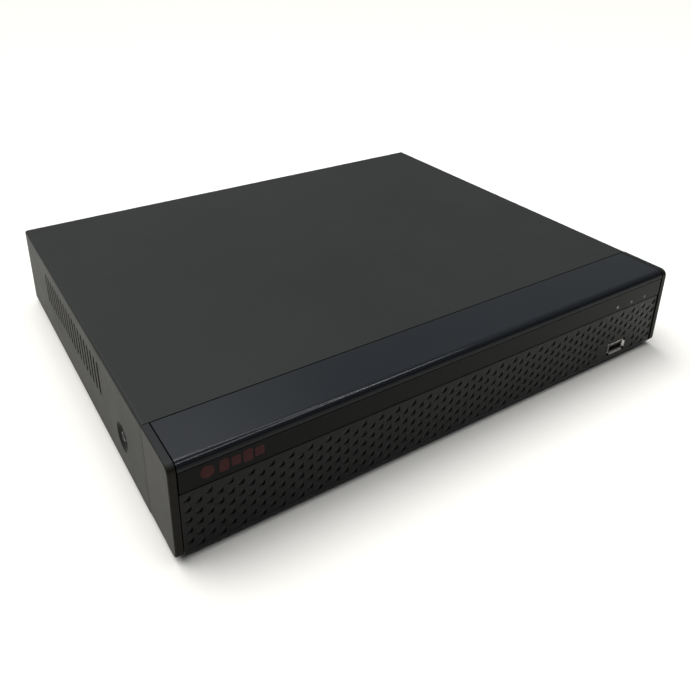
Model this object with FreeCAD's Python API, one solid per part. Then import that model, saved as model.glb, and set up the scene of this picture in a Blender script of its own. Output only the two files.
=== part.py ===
import FreeCAD, Part
import math
import os

# A compact desktop video recorder for security cameras: a folded steel pan and cover, a
# moulded front bezel of four pieces, a main board that carries the rear sockets, a hard
# disk, a fan and a small front board. Millimetres; +X is the recorder's right seen from
# the front, +Y points to its back and +Z up. The origin is under the middle of the
# recorder, on the surface that its feet stand on.

Vector = FreeCAD.Vector

# ---------------------------------------------------------------- driving dimensions
WIDTH = 300.0
BODY_DEPTH = 247.0
BODY_HEIGHT = 47.0
FOOT_HEIGHT = 3.0
CONNECTOR_REACH = 12.0     # how far the camera sockets stand out behind the body
COVER_SHEET = 0.8
PAN_SHEET = 1.0
BEZEL_DEPTH = 28.5         # from the front face back to the seam with the cover
SEAM = 0.4
CHEEK = 3.4                # width of the bezel's side cheeks
GROOVE = 0.6               # shadow gap between a cheek and the inlaid front pieces
NOSE_RADIUS = 3.8          # rounded front edge of the top fascia and of the cheeks

HALF = WIDTH / 2
FRONT = -(BODY_DEPTH + CONNECTOR_REACH) / 2
REAR = FRONT + BODY_DEPTH
BASE = FOOT_HEIGHT
TOP = BASE + BODY_HEIGHT
COVER_FRONT = FRONT + BEZEL_DEPTH + SEAM
WALL = REAR - COVER_SHEET  # outer face of the rear panel
BEHIND = WALL - PAN_SHEET  # its inner face
INLAY = HALF - CHEEK - GROOVE
PAN_FLOOR = BASE + PAN_SHEET

# front pieces, as heights above the body's underside
PANEL_TOP = 31.85
WINDOW_LOW, WINDOW_HIGH = 32.15, 42.6
FASCIA_LOW = 42.9
BACKING = FRONT + 3.2      # front face of the bezel frame's backing wall
BACKING_THICK = 2.0
DECK_DROP = 2.0            # the fascia's thickness, down to the deck that carries it
DECK_THICK = 1.8
RIB_PITCH = 25             # spacing of the stiffening ribs behind the bezel
PANEL_FACE = FRONT + 0.6   # ground of the dimpled panel

# cover vents and side screws
VENT_COUNT, VENT_PITCH, VENT_WIDTH = 19, 5.75, 2.4
VENT_FIRST = 93.0          # from the front face to the first vent's middle
VENT_LOW, VENT_HIGH = 20.0, 39.0
REAR_LIP = 6.2             # the cover's flange, folded down over the rear wall
REAR_SCREW_X = [-100.0, 0.0, 100.0]
REAR_SCREW_Z = TOP - 3.5
SIDE_SCREW_Y, SIDE_SCREW_Z = 61.2, 17.5
RECESS_RADIUS, RECESS_FLOOR, RECESS_DEPTH = 7.6, 4.7, 2.2

# front board, its socket and its lamps
USB_X, USB_Z = 115.4, 7.3
USB_SHELL_W, USB_SHELL_H = 6.55, 2.9     # half sizes of a USB-A socket's shell
USB_FLARE_W, USB_FLARE_H = 7.15, 3.5     # and of the mouth that its four flaps flare to
USB_FLARE_DEPTH, USB_SKIN = 0.9, 0.35
MOUTH_GAP = 0.35                         # between the flared mouth and the front panel
LAMP_X = [109.6, 121.2, 132.8]
LAMP_Z = 34.9
BOARD_FACE = FRONT + 14.0

# main board and the sockets along its back edge, left to right from the front
MAIN_X0, MAIN_X1 = -101.0, 143.0
MAIN_Z, MAIN_THICK = BASE + 6.0, 1.6
MAIN_Y1 = BEHIND - 0.6
MAIN_Y0 = MAIN_Y1 - 92.0
DECK = MAIN_Z + MAIN_THICK
SATA_X = [44.0, 64.0]      # the disk's data and power sockets, at the board's front edge
FAN_X, FAN_Z, FAN_SIZE, FAN_THICK = -124.5, BASE + 21.7, 40.0, 10.0
RJ45_X, REAR_USB_X, HDMI_X, VGA_X, RCA_X = -88.0, -67.0, -45.0, -15.0, 17.0
RJ45_HOLE_W = 8.2          # half width of the network socket's hole in the rear panel
RJ45_HOLE_LOW, RJ45_HOLE_HIGH = DECK + 0.1, DECK + 13.8
BNC_X = [38.0, 54.0, 70.0, 86.0]
BNC_Z = [BASE + 15.5, BASE + 33.5]
BNC_RADIUS = 4.85
DC_X, DC_Z = 107.0, BASE + 15.5
GROUND_X, GROUND_Z = 107.0, BASE + 32.0
SWITCH_X, SWITCH_Z = 130.0, BASE + 22.0
SWITCH_TILT = 10.0         # the rocker rests tilted this far either side of level

# hard disk: a 3.5 inch drive lying along X behind the bezel
DISK_LENGTH, DISK_WIDTH, DISK_HEIGHT = 147.0, 101.6, 26.1
DISK_X, DISK_Y, DISK_Z = -128.0, FRONT + 33.0, PAN_FLOOR + 1.0
ARM_PARK = -19.0           # the head arm's turn at rest, from pointing along -X

NODES = {}


# ---------------------------------------------------------------- small helpers
def box(x0, x1, y0, y1, z0, z1):
    return Part.makeBox(x1 - x0, y1 - y0, z1 - z0, Vector(x0, y0, z0))


def rod(axis, radius, low, high, u, v):
    """A cylinder along X, Y or Z from low to high; u and v are the other two coordinates."""
    start = {"X": Vector(low, u, v), "Y": Vector(u, low, v), "Z": Vector(u, v, low)}[axis]
    way = {"X": Vector(1, 0, 0), "Y": Vector(0, 1, 0), "Z": Vector(0, 0, 1)}[axis]
    return Part.makeCylinder(radius, high - low, start, way)


def cone(axis, r_low, r_high, low, high, u, v):
    start = {"X": Vector(low, u, v), "Y": Vector(u, low, v), "Z": Vector(u, v, low)}[axis]
    way = {"X": Vector(1, 0, 0), "Y": Vector(0, 1, 0), "Z": Vector(0, 0, 1)}[axis]
    return Part.makeCone(r_low, r_high, high - low, start, way)


def prism(axis, corners, low, high):
    """Extrudes a closed outline along an axis. A corner is (u, v) or (u, v, radius)."""
    place = {"X": lambda u, v: Vector(low, u, v), "Y": lambda u, v: Vector(u, low, v),
             "Z": lambda u, v: Vector(u, v, low)}[axis]
    way = {"X": Vector(1, 0, 0), "Y": Vector(0, 1, 0), "Z": Vector(0, 0, 1)}[axis]
    flat = [(place(c[0], c[1]), c[2] if len(c) > 2 else 0.0) for c in corners]
    ends, arcs = [], []
    for i, (point, radius) in enumerate(flat):
        to_last = (flat[i - 1][0] - point).normalize()
        to_next = (flat[(i + 1) % len(flat)][0] - point).normalize()
        if radius <= 0:
            ends.append((point, point))
            arcs.append(None)
            continue
        half_turn = to_last.getAngle(to_next) / 2
        reach = radius / math.tan(half_turn)
        middle = (to_last + to_next).normalize()
        apex = point + middle * (radius / math.sin(half_turn) - radius)
        first, second = point + to_last * reach, point + to_next * reach
        ends.append((first, second))
        arcs.append(Part.Arc(first, apex, second).toShape())
    edges = []
    for i, arc in enumerate(arcs):
        if arc is not None:
            edges.append(arc)
        leave, arrive = ends[i][1], ends[(i + 1) % len(ends)][0]
        if (arrive - leave).Length > 1e-6:
            edges.append(Part.LineSegment(leave, arrive).toShape())
    face = Part.Face(Part.Wire(Part.__sortEdges__(edges)))
    return face.extrude(way * (high - low))


def rounded(axis, u0, u1, v0, v1, radius, low, high):
    """A prism with a rectangular outline whose corners are rounded."""
    corners = [(u0, v0, radius), (u1, v0, radius), (u1, v1, radius), (u0, v1, radius)]
    return prism(axis, corners, low, high)


def joined(first, *others):
    return first.multiFuse(list(others)).removeSplitter() if others else first


def without(shape, *tools):
    return shape.cut(Part.makeCompound(list(tools)))


def softened(shape, radius, chosen):
    """Rounds the edges whose middle point passes the test."""
    picked = []
    for edge in shape.Edges:
        middle = edge.valueAt((edge.FirstParameter + edge.LastParameter) / 2)
        if chosen(edge, middle):
            picked.append(edge)
    return shape.makeFillet(radius, picked) if picked else shape


def along(edge, axis):
    """True if the edge is a straight one in that direction."""
    if edge.Curve.TypeId != "Part::GeomLine":
        return False
    way = edge.tangentAt(edge.FirstParameter)
    return abs({"X": way.x, "Y": way.y, "Z": way.z}[axis]) > 0.999


def near(a, b):
    return abs(a - b) < 0.02


def tube(points, radius):
    """A cable along straight runs joined by tangent arcs as large as the runs allow."""
    spots = [Vector(*p) for p in points]
    edges, last = [], spots[0]
    for i in range(1, len(spots) - 1):
        back, ahead = spots[i - 1] - spots[i], spots[i + 1] - spots[i]
        reach = 0.45 * min(back.Length, ahead.Length)
        half_turn = back.getAngle(ahead) / 2
        bend = reach * math.tan(half_turn)
        first = spots[i] + back.normalize() * reach
        second = spots[i] + ahead.normalize() * reach
        middle = ((first + second) * 0.5 - spots[i]).normalize()
        apex = spots[i] + middle * (bend / math.sin(half_turn) - bend)
        edges.append(Part.LineSegment(last, first).toShape())
        edges.append(Part.Arc(first, apex, second).toShape())
        last = second
    edges.append(Part.LineSegment(last, spots[-1]).toShape())
    path = Part.Wire(edges)
    way = (spots[1] - spots[0]).normalize()
    ring = Part.Wire(Part.Circle(spots[0], way, radius).toShape())
    sweep = Part.BRepOffsetAPI.MakePipeShell(path)
    sweep.setFrenetMode(True)
    sweep.add(ring)
    sweep.build()
    sweep.makeSolid()
    return sweep.shape()


def pan_head_screw(axis, sign, seat, u, v, head_radius, head_height, radius, length):
    """A cross-recessed screw. Its head starts at seat and stands out towards sign."""
    shank = rod(axis, radius, *sorted([seat, seat - sign * length]), u, v)
    head = rod(axis, head_radius, *sorted([seat, seat + sign * head_height]), u, v)
    rim = seat + sign * head_height
    head = head.makeFillet(0.45 * head_height, [
        e for e in head.Edges if near({"X": e.CenterOfMass.x, "Y": e.CenterOfMass.y,
                                       "Z": e.CenterOfMass.z}[axis], rim)])
    slot_width, slot_reach = 0.3 * head_radius, 0.68 * head_radius
    low, high = sorted([rim + sign, rim - sign * 0.6 * head_height])
    slots = []
    for a, b in ((slot_reach, slot_width / 2), (slot_width / 2, slot_reach)):
        if axis == "X":
            slots.append(box(low, high, u - a, u + a, v - b, v + b))
        elif axis == "Y":
            slots.append(box(u - a, u + a, low, high, v - b, v + b))
        else:
            slots.append(box(u - a, u + a, v - b, v + b, low, high))
    return without(joined(shank, head), *slots)


def node(name, *solids):
    shape = solids[0] if len(solids) == 1 else Part.makeCompound(list(solids))
    NODES[name] = shape


# ---------------------------------------------------------------- casing
def side_recess(sign):
    """The pressed dish for a cover screw: (metal to add, air to remove), on one side."""
    y, z = FRONT + SIDE_SCREW_Y, BASE + SIDE_SCREW_Z
    skin, floor = sign * HALF, sign * (HALF - RECESS_DEPTH)
    inner_floor = floor - sign * COVER_SHEET
    inner_skin = sign * (HALF - COVER_SHEET)
    grow = 0.55

    def frustum(a, r_a, b, r_b):
        return cone("X", r_a, r_b, a, b, y, z) if a < b else cone("X", r_b, r_a, b, a, y, z)

    metal = frustum(inner_skin, RECESS_RADIUS + grow, inner_floor, RECESS_FLOOR + grow)
    air = frustum(skin, RECESS_RADIUS, floor, RECESS_FLOOR)
    hole = rod("X", 1.75, *sorted([floor, inner_floor - sign]), y, z)
    return metal, air, hole


def vent(side_x0, side_x1, y):
    end = VENT_WIDTH / 2
    return rounded("X", y - end, y + end, BASE + VENT_LOW, BASE + VENT_HIGH, end - 0.01,
                   side_x0, side_x1)


def top_cover():
    inside = HALF - COVER_SHEET
    bend = 1.6
    outline = [(-HALF, BASE), (-HALF, TOP, bend), (HALF, TOP, bend), (HALF, BASE),
               (inside, BASE), (inside, TOP - COVER_SHEET, bend - COVER_SHEET),
               (-inside, TOP - COVER_SHEET, bend - COVER_SHEET), (-inside, BASE)]
    shell = prism("Y", outline, COVER_FRONT, REAR)
    lip = box(-inside - 0.2, inside + 0.2, WALL, REAR, TOP - REAR_LIP, TOP - COVER_SHEET / 2)
    shell = joined(shell, lip)
    shell = softened(shell, 0.9, lambda e, m: along(e, "X") and near(m.y, REAR)
                     and near(m.z, TOP))
    shell = softened(shell, 3.5, lambda e, m: along(e, "X") and e.Length < 1
                     and near(m.y, REAR) and near(m.z, BASE))
    metal, air = [], []
    for sign in (-1, 1):
        dish, gap, hole = side_recess(sign)
        metal.append(dish)
        air += [gap, hole]
        low, high = sorted([sign * (HALF + 1), sign * (HALF - 3)])
        for i in range(VENT_COUNT):
            air.append(vent(low, high, FRONT + VENT_FIRST + i * VENT_PITCH))
    air += [rod("Y", 1.75, WALL - 1, REAR + 1, x, REAR_SCREW_Z) for x in REAR_SCREW_X]
    return without(joined(shell, *metal), *air)


def cover_screws():
    sides = [pan_head_screw("X", sign, sign * (HALF - RECESS_DEPTH), FRONT + SIDE_SCREW_Y,
                            BASE + SIDE_SCREW_Z, 2.6, 1.8, 1.45, 6.0) for sign in (-1, 1)]
    back = [pan_head_screw("Y", 1, REAR, x, REAR_SCREW_Z, 2.6, 1.8, 1.45, 5.0)
            for x in REAR_SCREW_X]
    node("cover_screws", *sides, *back)


def fan_grille():
    """Ring-shaped openings in the rear wall in front of the fan, crossed by four spokes."""
    rings = []
    for inner, outer in ((3.2, 6.4), (8.0, 11.2), (12.8, 16.0), (17.2, 18.8)):
        ring = rod("Y", outer, BEHIND - 1, WALL + 1, FAN_X, FAN_Z)
        rings.append(ring.cut(rod("Y", inner, BEHIND - 2, WALL + 2, FAN_X, FAN_Z)))
    spokes = []
    for turn in (45.0, 135.0):
        bar = box(-25, 25, BEHIND - 3, WALL + 3, -1.1, 1.1)
        bar.rotate(Vector(0, 0, 0), Vector(0, 1, 0), turn)
        bar.translate(Vector(FAN_X, 0, FAN_Z))
        spokes.append(bar)
    return [ring.cut(Part.makeCompound(spokes)) for ring in rings]


def fan_screw_places():
    reach = 16.0
    return [(FAN_X + a * reach, FAN_Z + b * reach) for a in (-1, 1) for b in (-1, 1)]


def rear_openings():
    """Everything that is cut through the rear panel, except the network socket's hole."""
    a, b = BEHIND - 1, WALL + 1
    holes = [rod("Y", 6.3, a, b, x, z) for x in BNC_X for z in BNC_Z]
    holes += [rod("Y", 5.0, a, b, RCA_X, z) for z in BNC_Z]
    holes.append(rounded("Y", VGA_X - 9.2, VGA_X + 9.2, DECK + 0.6, DECK + 10.4, 1.6, a, b))
    holes += [rod("Y", 3.2, a, b, VGA_X + s * 12.5, DECK + 5.5) for s in (-1, 1)]
    holes.append(rounded("Y", HDMI_X - 8.0, HDMI_X + 8.0, DECK + 0.1, DECK + 6.5, 0.8, a, b))
    holes.append(rounded("Y", REAR_USB_X - 7.4, REAR_USB_X + 7.4, DECK - 0.6, DECK + 6.9,
                         0.6, a, b))
    holes.append(rounded("Y", DC_X - 4.8, DC_X + 4.8, DC_Z - 5.8, DC_Z + 5.8, 0.8, a, b))
    holes.append(rod("Y", 1.55, a, b, GROUND_X, GROUND_Z))
    holes.append(rounded("Y", SWITCH_X - 6.6, SWITCH_X + 6.6, SWITCH_Z - 9.7,
                         SWITCH_Z + 9.7, 0.8, a, b))
    holes += [rod("Y", 1.9, a, b, x, z) for x, z in fan_screw_places()]
    holes += [rod("Y", 1.55, a, b, x, REAR_SCREW_Z) for x in REAR_SCREW_X]
    return holes + fan_grille()


def rear_panel():
    """The flat sheet that carries the rear sockets, welded to the pan's rear flange.

    Its four blanks meet round the network socket's hole."""
    side, top = HALF - COVER_SHEET - 0.3, TOP - COVER_SHEET - 0.2
    left, right = RJ45_X - RJ45_HOLE_W, RJ45_X + RJ45_HOLE_W
    blanks = [box(-side, left, BEHIND, WALL, BASE, top),
              box(left, right, BEHIND, WALL, BASE, RJ45_HOLE_LOW),
              box(left, right, BEHIND, WALL, RJ45_HOLE_HIGH, top),
              box(right, side, BEHIND, WALL, BASE, top)]
    openings = rear_openings()
    return [without(blank, *openings) for blank in blanks]


def chassis_pan():
    side = HALF - COVER_SHEET - 0.3
    neck = HALF - CHEEK - 0.2
    start = FRONT + 21.0
    sheet = box(-side, side, COVER_FRONT, BEHIND, BASE, PAN_FLOOR)
    tongue = box(-neck, neck, start, COVER_FRONT + 1, BASE, PAN_FLOOR)
    front = box(-neck, neck, start, start + PAN_SHEET, BASE, BASE + 40)
    flange = box(FAN_X + FAN_SIZE / 2 + 2, side - 5, BEHIND - PAN_SHEET, BEHIND, BASE,
                 BASE + 5)
    walls = [flange]
    for sign in (-1, 1):
        low, high = sorted([sign * side, sign * (side - PAN_SHEET)])
        walls.append(box(low, high, COVER_FRONT + 5, WALL - 5, BASE, BASE + 8.5))
        tab_out = sign * (HALF - RECESS_DEPTH - COVER_SHEET)
        tab_in = tab_out - sign * PAN_SHEET
        y = FRONT + SIDE_SCREW_Y
        low, high = sorted([sign * side, tab_in])
        walls.append(box(low, high, y - 10, y + 10, BASE + 7.5, BASE + 8.5))
        low, high = sorted([tab_out, tab_in])
        walls.append(box(low, high, y - 10, y + 10, BASE + 7.5, BASE + 26))
    pan = joined(sheet, tongue, front, *walls)
    # windows in the front wall: one for the front board and its cable, two for cooling air
    air = [box(88, neck + 1, start - 1, start + 2, BASE + 4, BASE + 41)]
    air += [box(x, x + 60, start - 1, start + 2, BASE + 12, BASE + 34) for x in (-120, -20)]
    for sign in (-1, 1):
        low, high = sorted([sign * (HALF + 1), sign * (HALF - 6)])
        air.append(rod("X", 1.55, low, high, FRONT + SIDE_SCREW_Y, BASE + SIDE_SCREW_Z))
    air += [rod("Z", 1.9, BASE - 1, PAN_FLOOR + 1, x, y) for x, y in disk_screw_places()]
    # rows of cooling slots in the floor under the main board
    for column in range(9):
        for row in range(2):
            x = -60 + column * 14.0
            y = MAIN_Y0 + 22 + row * 34
            air.append(rounded("Z", x - 1.5, x + 1.5, y - 12, y + 12, 1.49,
                               BASE - 1, PAN_FLOOR + 1))
    return without(pan, *air)


def feet_places():
    return [(s * (HALF - 24), y) for s in (-1, 1) for y in (FRONT + 40, REAR - 24)]


def rubber_feet():
    feet = []
    for x, y in feet_places():
        foot = cone("Z", 8.0, 9.0, 0, FOOT_HEIGHT, x, y)
        foot = foot.makeFillet(0.8, [e for e in foot.Edges if near(e.CenterOfMass.z, 0)
                                     and e.Curve.TypeId == "Part::GeomCircle"])
        feet.append(foot)
    return feet


# ---------------------------------------------------------------- front bezel
def cheek(sign):
    """One side cheek, with a tongue that reaches inside the cover's side."""
    outline = [(FRONT, BASE, 3.0), (FRONT, TOP, NOSE_RADIUS),
               (FRONT + BEZEL_DEPTH, TOP), (FRONT + BEZEL_DEPTH, BASE)]
    low, high = sorted([sign * HALF, sign * (HALF - CHEEK)])
    plate = prism("X", outline, low, high)
    plate = softened(plate, 0.8, lambda e, m: near(m.x, sign * HALF)
                     and not near(m.y, FRONT + BEZEL_DEPTH))
    low, high = sorted([sign * (HALF - COVER_SHEET - 0.3), sign * (HALF - 2.8)])
    tongue = box(low, high, FRONT + BEZEL_DEPTH - 4, FRONT + BEZEL_DEPTH + 4.5,
                 BASE + 10, TOP - 5)
    return joined(plate, tongue)


def front_board_screw_places():
    return [(101.0, BASE + 24.0), (138.5, BASE + 15.0)]


def bezel_frame():
    inner = HALF - CHEEK
    back = BACKING + BACKING_THICK
    deck_top = TOP - DECK_DROP
    wall = box(-inner, inner, BACKING, back, BASE + 0.3, deck_top)
    deck = box(-inner, inner, BACKING, FRONT + BEZEL_DEPTH + 5, deck_top - DECK_THICK,
               deck_top)
    rail = box(-inner, inner, BACKING, FRONT + 20.8, BASE, BASE + DECK_THICK)
    ribs = [box(x - 0.8, x + 0.8, back, FRONT + 19, BASE, deck_top)
            for x in range(-125, 95, RIB_PITCH)]
    bosses = [rod("Y", 3.0, back, BOARD_FACE, x, z) for x, z in front_board_screw_places()]
    frame = joined(cheek(-1), cheek(1), wall, deck, rail, *ribs, *bosses)
    air = [rod("Y", 1.3, BACKING - 1, back + 1, x, BASE + LAMP_Z) for x in LAMP_X]
    air += [rod("Y", 1.2, back + 1, BOARD_FACE + 1, x, z)
            for x, z in front_board_screw_places()]
    air.append(box(USB_X - 8, USB_X + 8, BACKING - 1, back + 1, BASE + USB_Z - 4.2,
                   BASE + USB_Z + 4.2))
    return without(frame, *air)


def top_fascia():
    face, back = FRONT + 0.1, BACKING - 0.1
    outline = [(FRONT + BEZEL_DEPTH, TOP, 0.3), (face, TOP, NOSE_RADIUS),
               (face, BASE + FASCIA_LOW, 0.2), (back, BASE + FASCIA_LOW),
               (back, TOP - DECK_DROP), (FRONT + BEZEL_DEPTH, TOP - DECK_DROP)]
    return prism("X", outline, -INLAY, INLAY)


def indicator_window():
    low, high = BASE + WINDOW_LOW, BASE + WINDOW_HIGH
    pane = box(-INLAY, INLAY, FRONT + 0.3, BACKING, low, high)
    pane = softened(pane, 0.3, lambda e, m: near(m.y, FRONT + 0.3))
    return without(pane, *[rod("Y", 0.95, FRONT - 1, BACKING + 1, x, BASE + LAMP_Z)
                           for x in LAMP_X])


def dimpled_panel():
    """The lower front panel. Its rows of slanted dimples, 0.7 mm deep, are left to its looks.

    Its four blanks meet round the USB socket's mouth."""
    outline = [(PANEL_FACE, BASE + 0.3, 0.95), (PANEL_FACE, BASE + PANEL_TOP, 0.3),
               (BACKING, BASE + PANEL_TOP), (BACKING, BASE + 0.3)]
    reach_w, reach_h = USB_FLARE_W + MOUTH_GAP, USB_FLARE_H + MOUTH_GAP
    left, right = USB_X - reach_w, USB_X + reach_w
    mouth = box(left - 1, right + 1, FRONT - 1, BACKING + 1, BASE + USB_Z - reach_h,
                BASE + USB_Z + reach_h)
    middle = prism("X", outline, left, right).cut(mouth)
    return [prism("X", outline, -INLAY, left), *middle.Solids,
            prism("X", outline, right, INLAY)]


# ---------------------------------------------------------------- shared sockets
def usb_flaps(x, y_mouth, z, out):
    """The four flaps that flare out round a USB-A socket's mouth, one on each side."""
    root = y_mouth - out * (USB_FLARE_DEPTH + USB_SKIN)
    bend = y_mouth - out * USB_FLARE_DEPTH
    flaps = []
    for s in (-1, 1):
        inner, outer = z + s * (USB_SHELL_H - USB_SKIN), z + s * USB_SHELL_H
        tip = z + s * USB_FLARE_H
        flaps.append(prism("X", [(root, inner), (root, outer), (bend, outer), (y_mouth, tip),
                                 (y_mouth, tip - s * USB_SKIN), (bend, inner)],
                           x - 5.5, x + 5.5))
        inner, outer = x + s * (USB_SHELL_W - USB_SKIN), x + s * USB_SHELL_W
        tip = x + s * USB_FLARE_W
        flaps.append(prism("Z", [(inner, root), (outer, root), (outer, bend), (tip, y_mouth),
                                 (tip - s * USB_SKIN, y_mouth), (inner, bend)],
                           z - 1.9, z + 1.9))
    return flaps


def usb_socket(x, y_mouth, y_back, z, out):
    """Shell, insulator and contacts of a USB-A socket. out is +1 if its mouth faces +Y."""
    bend = y_mouth - out * USB_FLARE_DEPTH
    shell = rounded("Y", x - USB_SHELL_W, x + USB_SHELL_W, z - USB_SHELL_H, z + USB_SHELL_H,
                    0.6, *sorted([bend, y_back]))
    inner_back = y_back + out * 0.4
    inside_w, inside_h = USB_SHELL_W - USB_SKIN, USB_SHELL_H - USB_SKIN
    bore = rounded("Y", x - inside_w, x + inside_w, z - inside_h, z + inside_h, 0.25,
                   *sorted([y_mouth + out, inner_back]))
    shell = joined(shell.cut(bore), *usb_flaps(x, y_mouth, z, out))
    block_front = inner_back + out * 3.0
    block = box(x - 6.1, x + 6.1, *sorted([inner_back, block_front]), z - 2.45, z + 2.45)
    tongue = box(x - 5.6, x + 5.6, *sorted([inner_back, y_mouth - out * 1.4]),
                 z + 0.25, z + 2.1)
    contacts = []
    for offset in (-3.5, -1.0, 1.0, 3.5):
        contacts.append(box(x + offset - 0.5, x + offset + 0.5,
                            *sorted([block_front, y_mouth - out * 2.2]), z + 0.05, z + 0.25))
    return shell, joined(block, tongue), contacts


def usb_parts():
    front = usb_socket(USB_X, FRONT + 0.45, BOARD_FACE, BASE + USB_Z, -1)
    rear = usb_socket(REAR_USB_X, WALL + 0.9, BEHIND - 12.5, DECK + 3.15, 1)
    node("front_usb_shell", front[0])
    node("rear_usb_shell", rear[0])
    node("usb_insulators", front[1], rear[1])
    node("port_contacts", *front[2], *rear[2], *rj45_contacts())


def front_board_parts():
    pcb = box(96, 143, BOARD_FACE, BOARD_FACE + 1.2, BASE + 3.0, BASE + 41.0)
    pcb = without(pcb, *[rod("Y", 1.6, BOARD_FACE - 1, BOARD_FACE + 2, x, z)
                         for x, z in front_board_screw_places()])
    node("front_board", pcb)
    pipes = [joined(rod("Y", 0.9, FRONT + 0.2, BOARD_FACE - 0.9, x, BASE + LAMP_Z),
                    rod("Y", 1.25, FRONT + 3.4, FRONT + 4.4, x, BASE + LAMP_Z))
             for x in LAMP_X]
    node("led_light_pipes", *pipes)
    node("status_leds", *[box(x - 1.0, x + 1.0, BOARD_FACE - 0.8, BOARD_FACE,
                              BASE + LAMP_Z - 0.6, BASE + LAMP_Z + 0.6) for x in LAMP_X])


# ---------------------------------------------------------------- main board
def main_board_parts():
    places = [(x, y) for x in (MAIN_X0 + 5, 20.0, MAIN_X1 - 5)
              for y in (MAIN_Y0 + 5, MAIN_Y1 - 24)]
    pcb = box(MAIN_X0, MAIN_X1, MAIN_Y0, MAIN_Y1, MAIN_Z, DECK)
    pcb = without(pcb, *[rod("Z", 1.7, MAIN_Z - 1, DECK + 1, x, y) for x, y in places])
    node("main_board", pcb)
    posts = [rod("Z", 3.0, PAN_FLOOR, MAIN_Z, x, y).cut(
        rod("Z", 1.5, PAN_FLOOR + 0.6, MAIN_Z + 1, x, y)) for x, y in places]
    node("board_standoffs", *posts)
    down = [pan_head_screw("Z", 1, DECK, x, y, 2.8, 1.8, 1.4, 5.5) for x, y in places]
    forward = [pan_head_screw("Y", 1, BOARD_FACE + 1.2, x, z, 2.5, 1.5, 1.15, 6.0)
               for x, z in front_board_screw_places()]
    node("board_screws", *down, *forward)
    chip_x, chip_y = -20.0, MAIN_Y0 + 36
    node("soc_chip", box(chip_x - 13, chip_x + 13, chip_y - 13, chip_y + 13, DECK, DECK + 1.6))
    sink_low = DECK + 1.6
    plate = box(chip_x - 20, chip_x + 20, chip_y - 20, chip_y + 20, sink_low, sink_low + 2.5)
    fins = [box(chip_x - 20 + i * 4.3, chip_x - 18.8 + i * 4.3, chip_y - 20, chip_y + 20,
                sink_low, sink_low + 15) for i in range(10)]
    node("soc_heatsink", joined(plate, *fins))
    memory = [box(chip_x + 28, chip_x + 39, y, y + 13, DECK, DECK + 1.1)
              for y in (chip_y - 20, chip_y - 3.5, chip_y + 13)]
    memory += [box(chip_x - 46, chip_x - 33, y, y + 18, DECK, DECK + 1.1)
               for y in (chip_y - 24, chip_y + 2)]
    cans = []
    for x, y, r, h in ((118, MAIN_Y0 + 15, 4.0, 12), (118, MAIN_Y0 + 27, 4.0, 12),
                       (130, MAIN_Y0 + 27, 5.0, 13), (98, MAIN_Y0 + 15, 3.2, 8),
                       (98, MAIN_Y0 + 25, 3.2, 8), (60, MAIN_Y0 + 12, 3.2, 8)):
        can = rod("Z", r, DECK, DECK + h, x, y)
        cans.append(can.makeFillet(0.5, [e for e in can.Edges
                                         if near(e.CenterOfMass.z, DECK + h)]))
    node("board_capacitors", *cans)
    coils = [rounded("Z", x, x + 10, y, y + 10, 2.0, DECK, DECK + 4.5)
             for x, y in ((104, MAIN_Y0 + 38), (118, MAIN_Y0 + 38), (84, MAIN_Y0 + 38))]
    node("board_chips", *memory, *coils)
    cell_x, cell_y = 68.0, MAIN_Y0 + 30
    holder = rod("Z", 11.2, DECK, DECK + 4.2, cell_x, cell_y).cut(
        rod("Z", 10.05, DECK + 0.8, DECK + 5, cell_x, cell_y))
    node("coin_cell_holder", holder)
    node("coin_cell", rod("Z", 10.0, DECK + 0.8, DECK + 4.0, cell_x, cell_y))
    node("buzzer", rod("Z", 6.0, DECK, DECK + 8.5, 36, MAIN_Y0 + 14).cut(
        rod("Z", 1.2, DECK + 6.5, DECK + 9, 36, MAIN_Y0 + 14)))
    node("sata_sockets", *[sata_socket(x, 8.4) for x in SATA_X])


def sata_socket(x, half):
    """An upright seven-way socket at the board's front edge, with its key slot."""
    y = MAIN_Y0 + 3.0
    body = box(x - half, x + half, y - 2.6, y + 2.6, DECK, DECK + 8.5)
    return body.cut(box(x - half + 1.4, x + half - 1.4, y - 1.2, y + 1.2,
                        DECK + 2, DECK + 9))


def bnc_parts():
    """Eight camera sockets in two rows. Returns the moulded block that holds them."""
    low, high = BNC_X[0] - 8.0, BNC_X[-1] + 8.0
    block = box(low, high, BEHIND - 14.5, BEHIND, DECK, BASE + 42)
    barrels, insulators, pins = [], [], []
    root = BEHIND - 4.0
    tip = REAR + CONNECTOR_REACH
    for x in BNC_X:
        for z in BNC_Z:
            block = block.cut(rod("Y", 6.0, root, BEHIND + 1, x, z))
            barrel = joined(rod("Y", 5.9, root, WALL + 0.8, x, z),
                            rod("Y", BNC_RADIUS, root, tip, x, z),
                            rod("Z", 1.0, z - 6.0, z + 6.0, x, tip - 5.0))
            barrels.append(barrel.cut(rod("Y", 4.05, root + 1.0, tip + 1, x, z)))
            sleeve = rod("Y", 4.0, root + 1.0, root + 6.0, x, z)
            nose = rod("Y", 2.4, root + 1.0, tip - 3.2, x, z)
            bore = rod("Y", 1.1, root + 2.5, tip, x, z)
            insulators.append(joined(sleeve, nose).cut(bore))
            pin = rod("Y", 1.0, root + 2.6, tip - 4.0, x, z)
            pins.append(pin.cut(rod("Y", 0.55, tip - 9.0, tip, x, z)))
    node("bnc_barrels", *barrels)
    node("bnc_insulators", *insulators)
    node("bnc_contacts", *pins)
    return block


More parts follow.
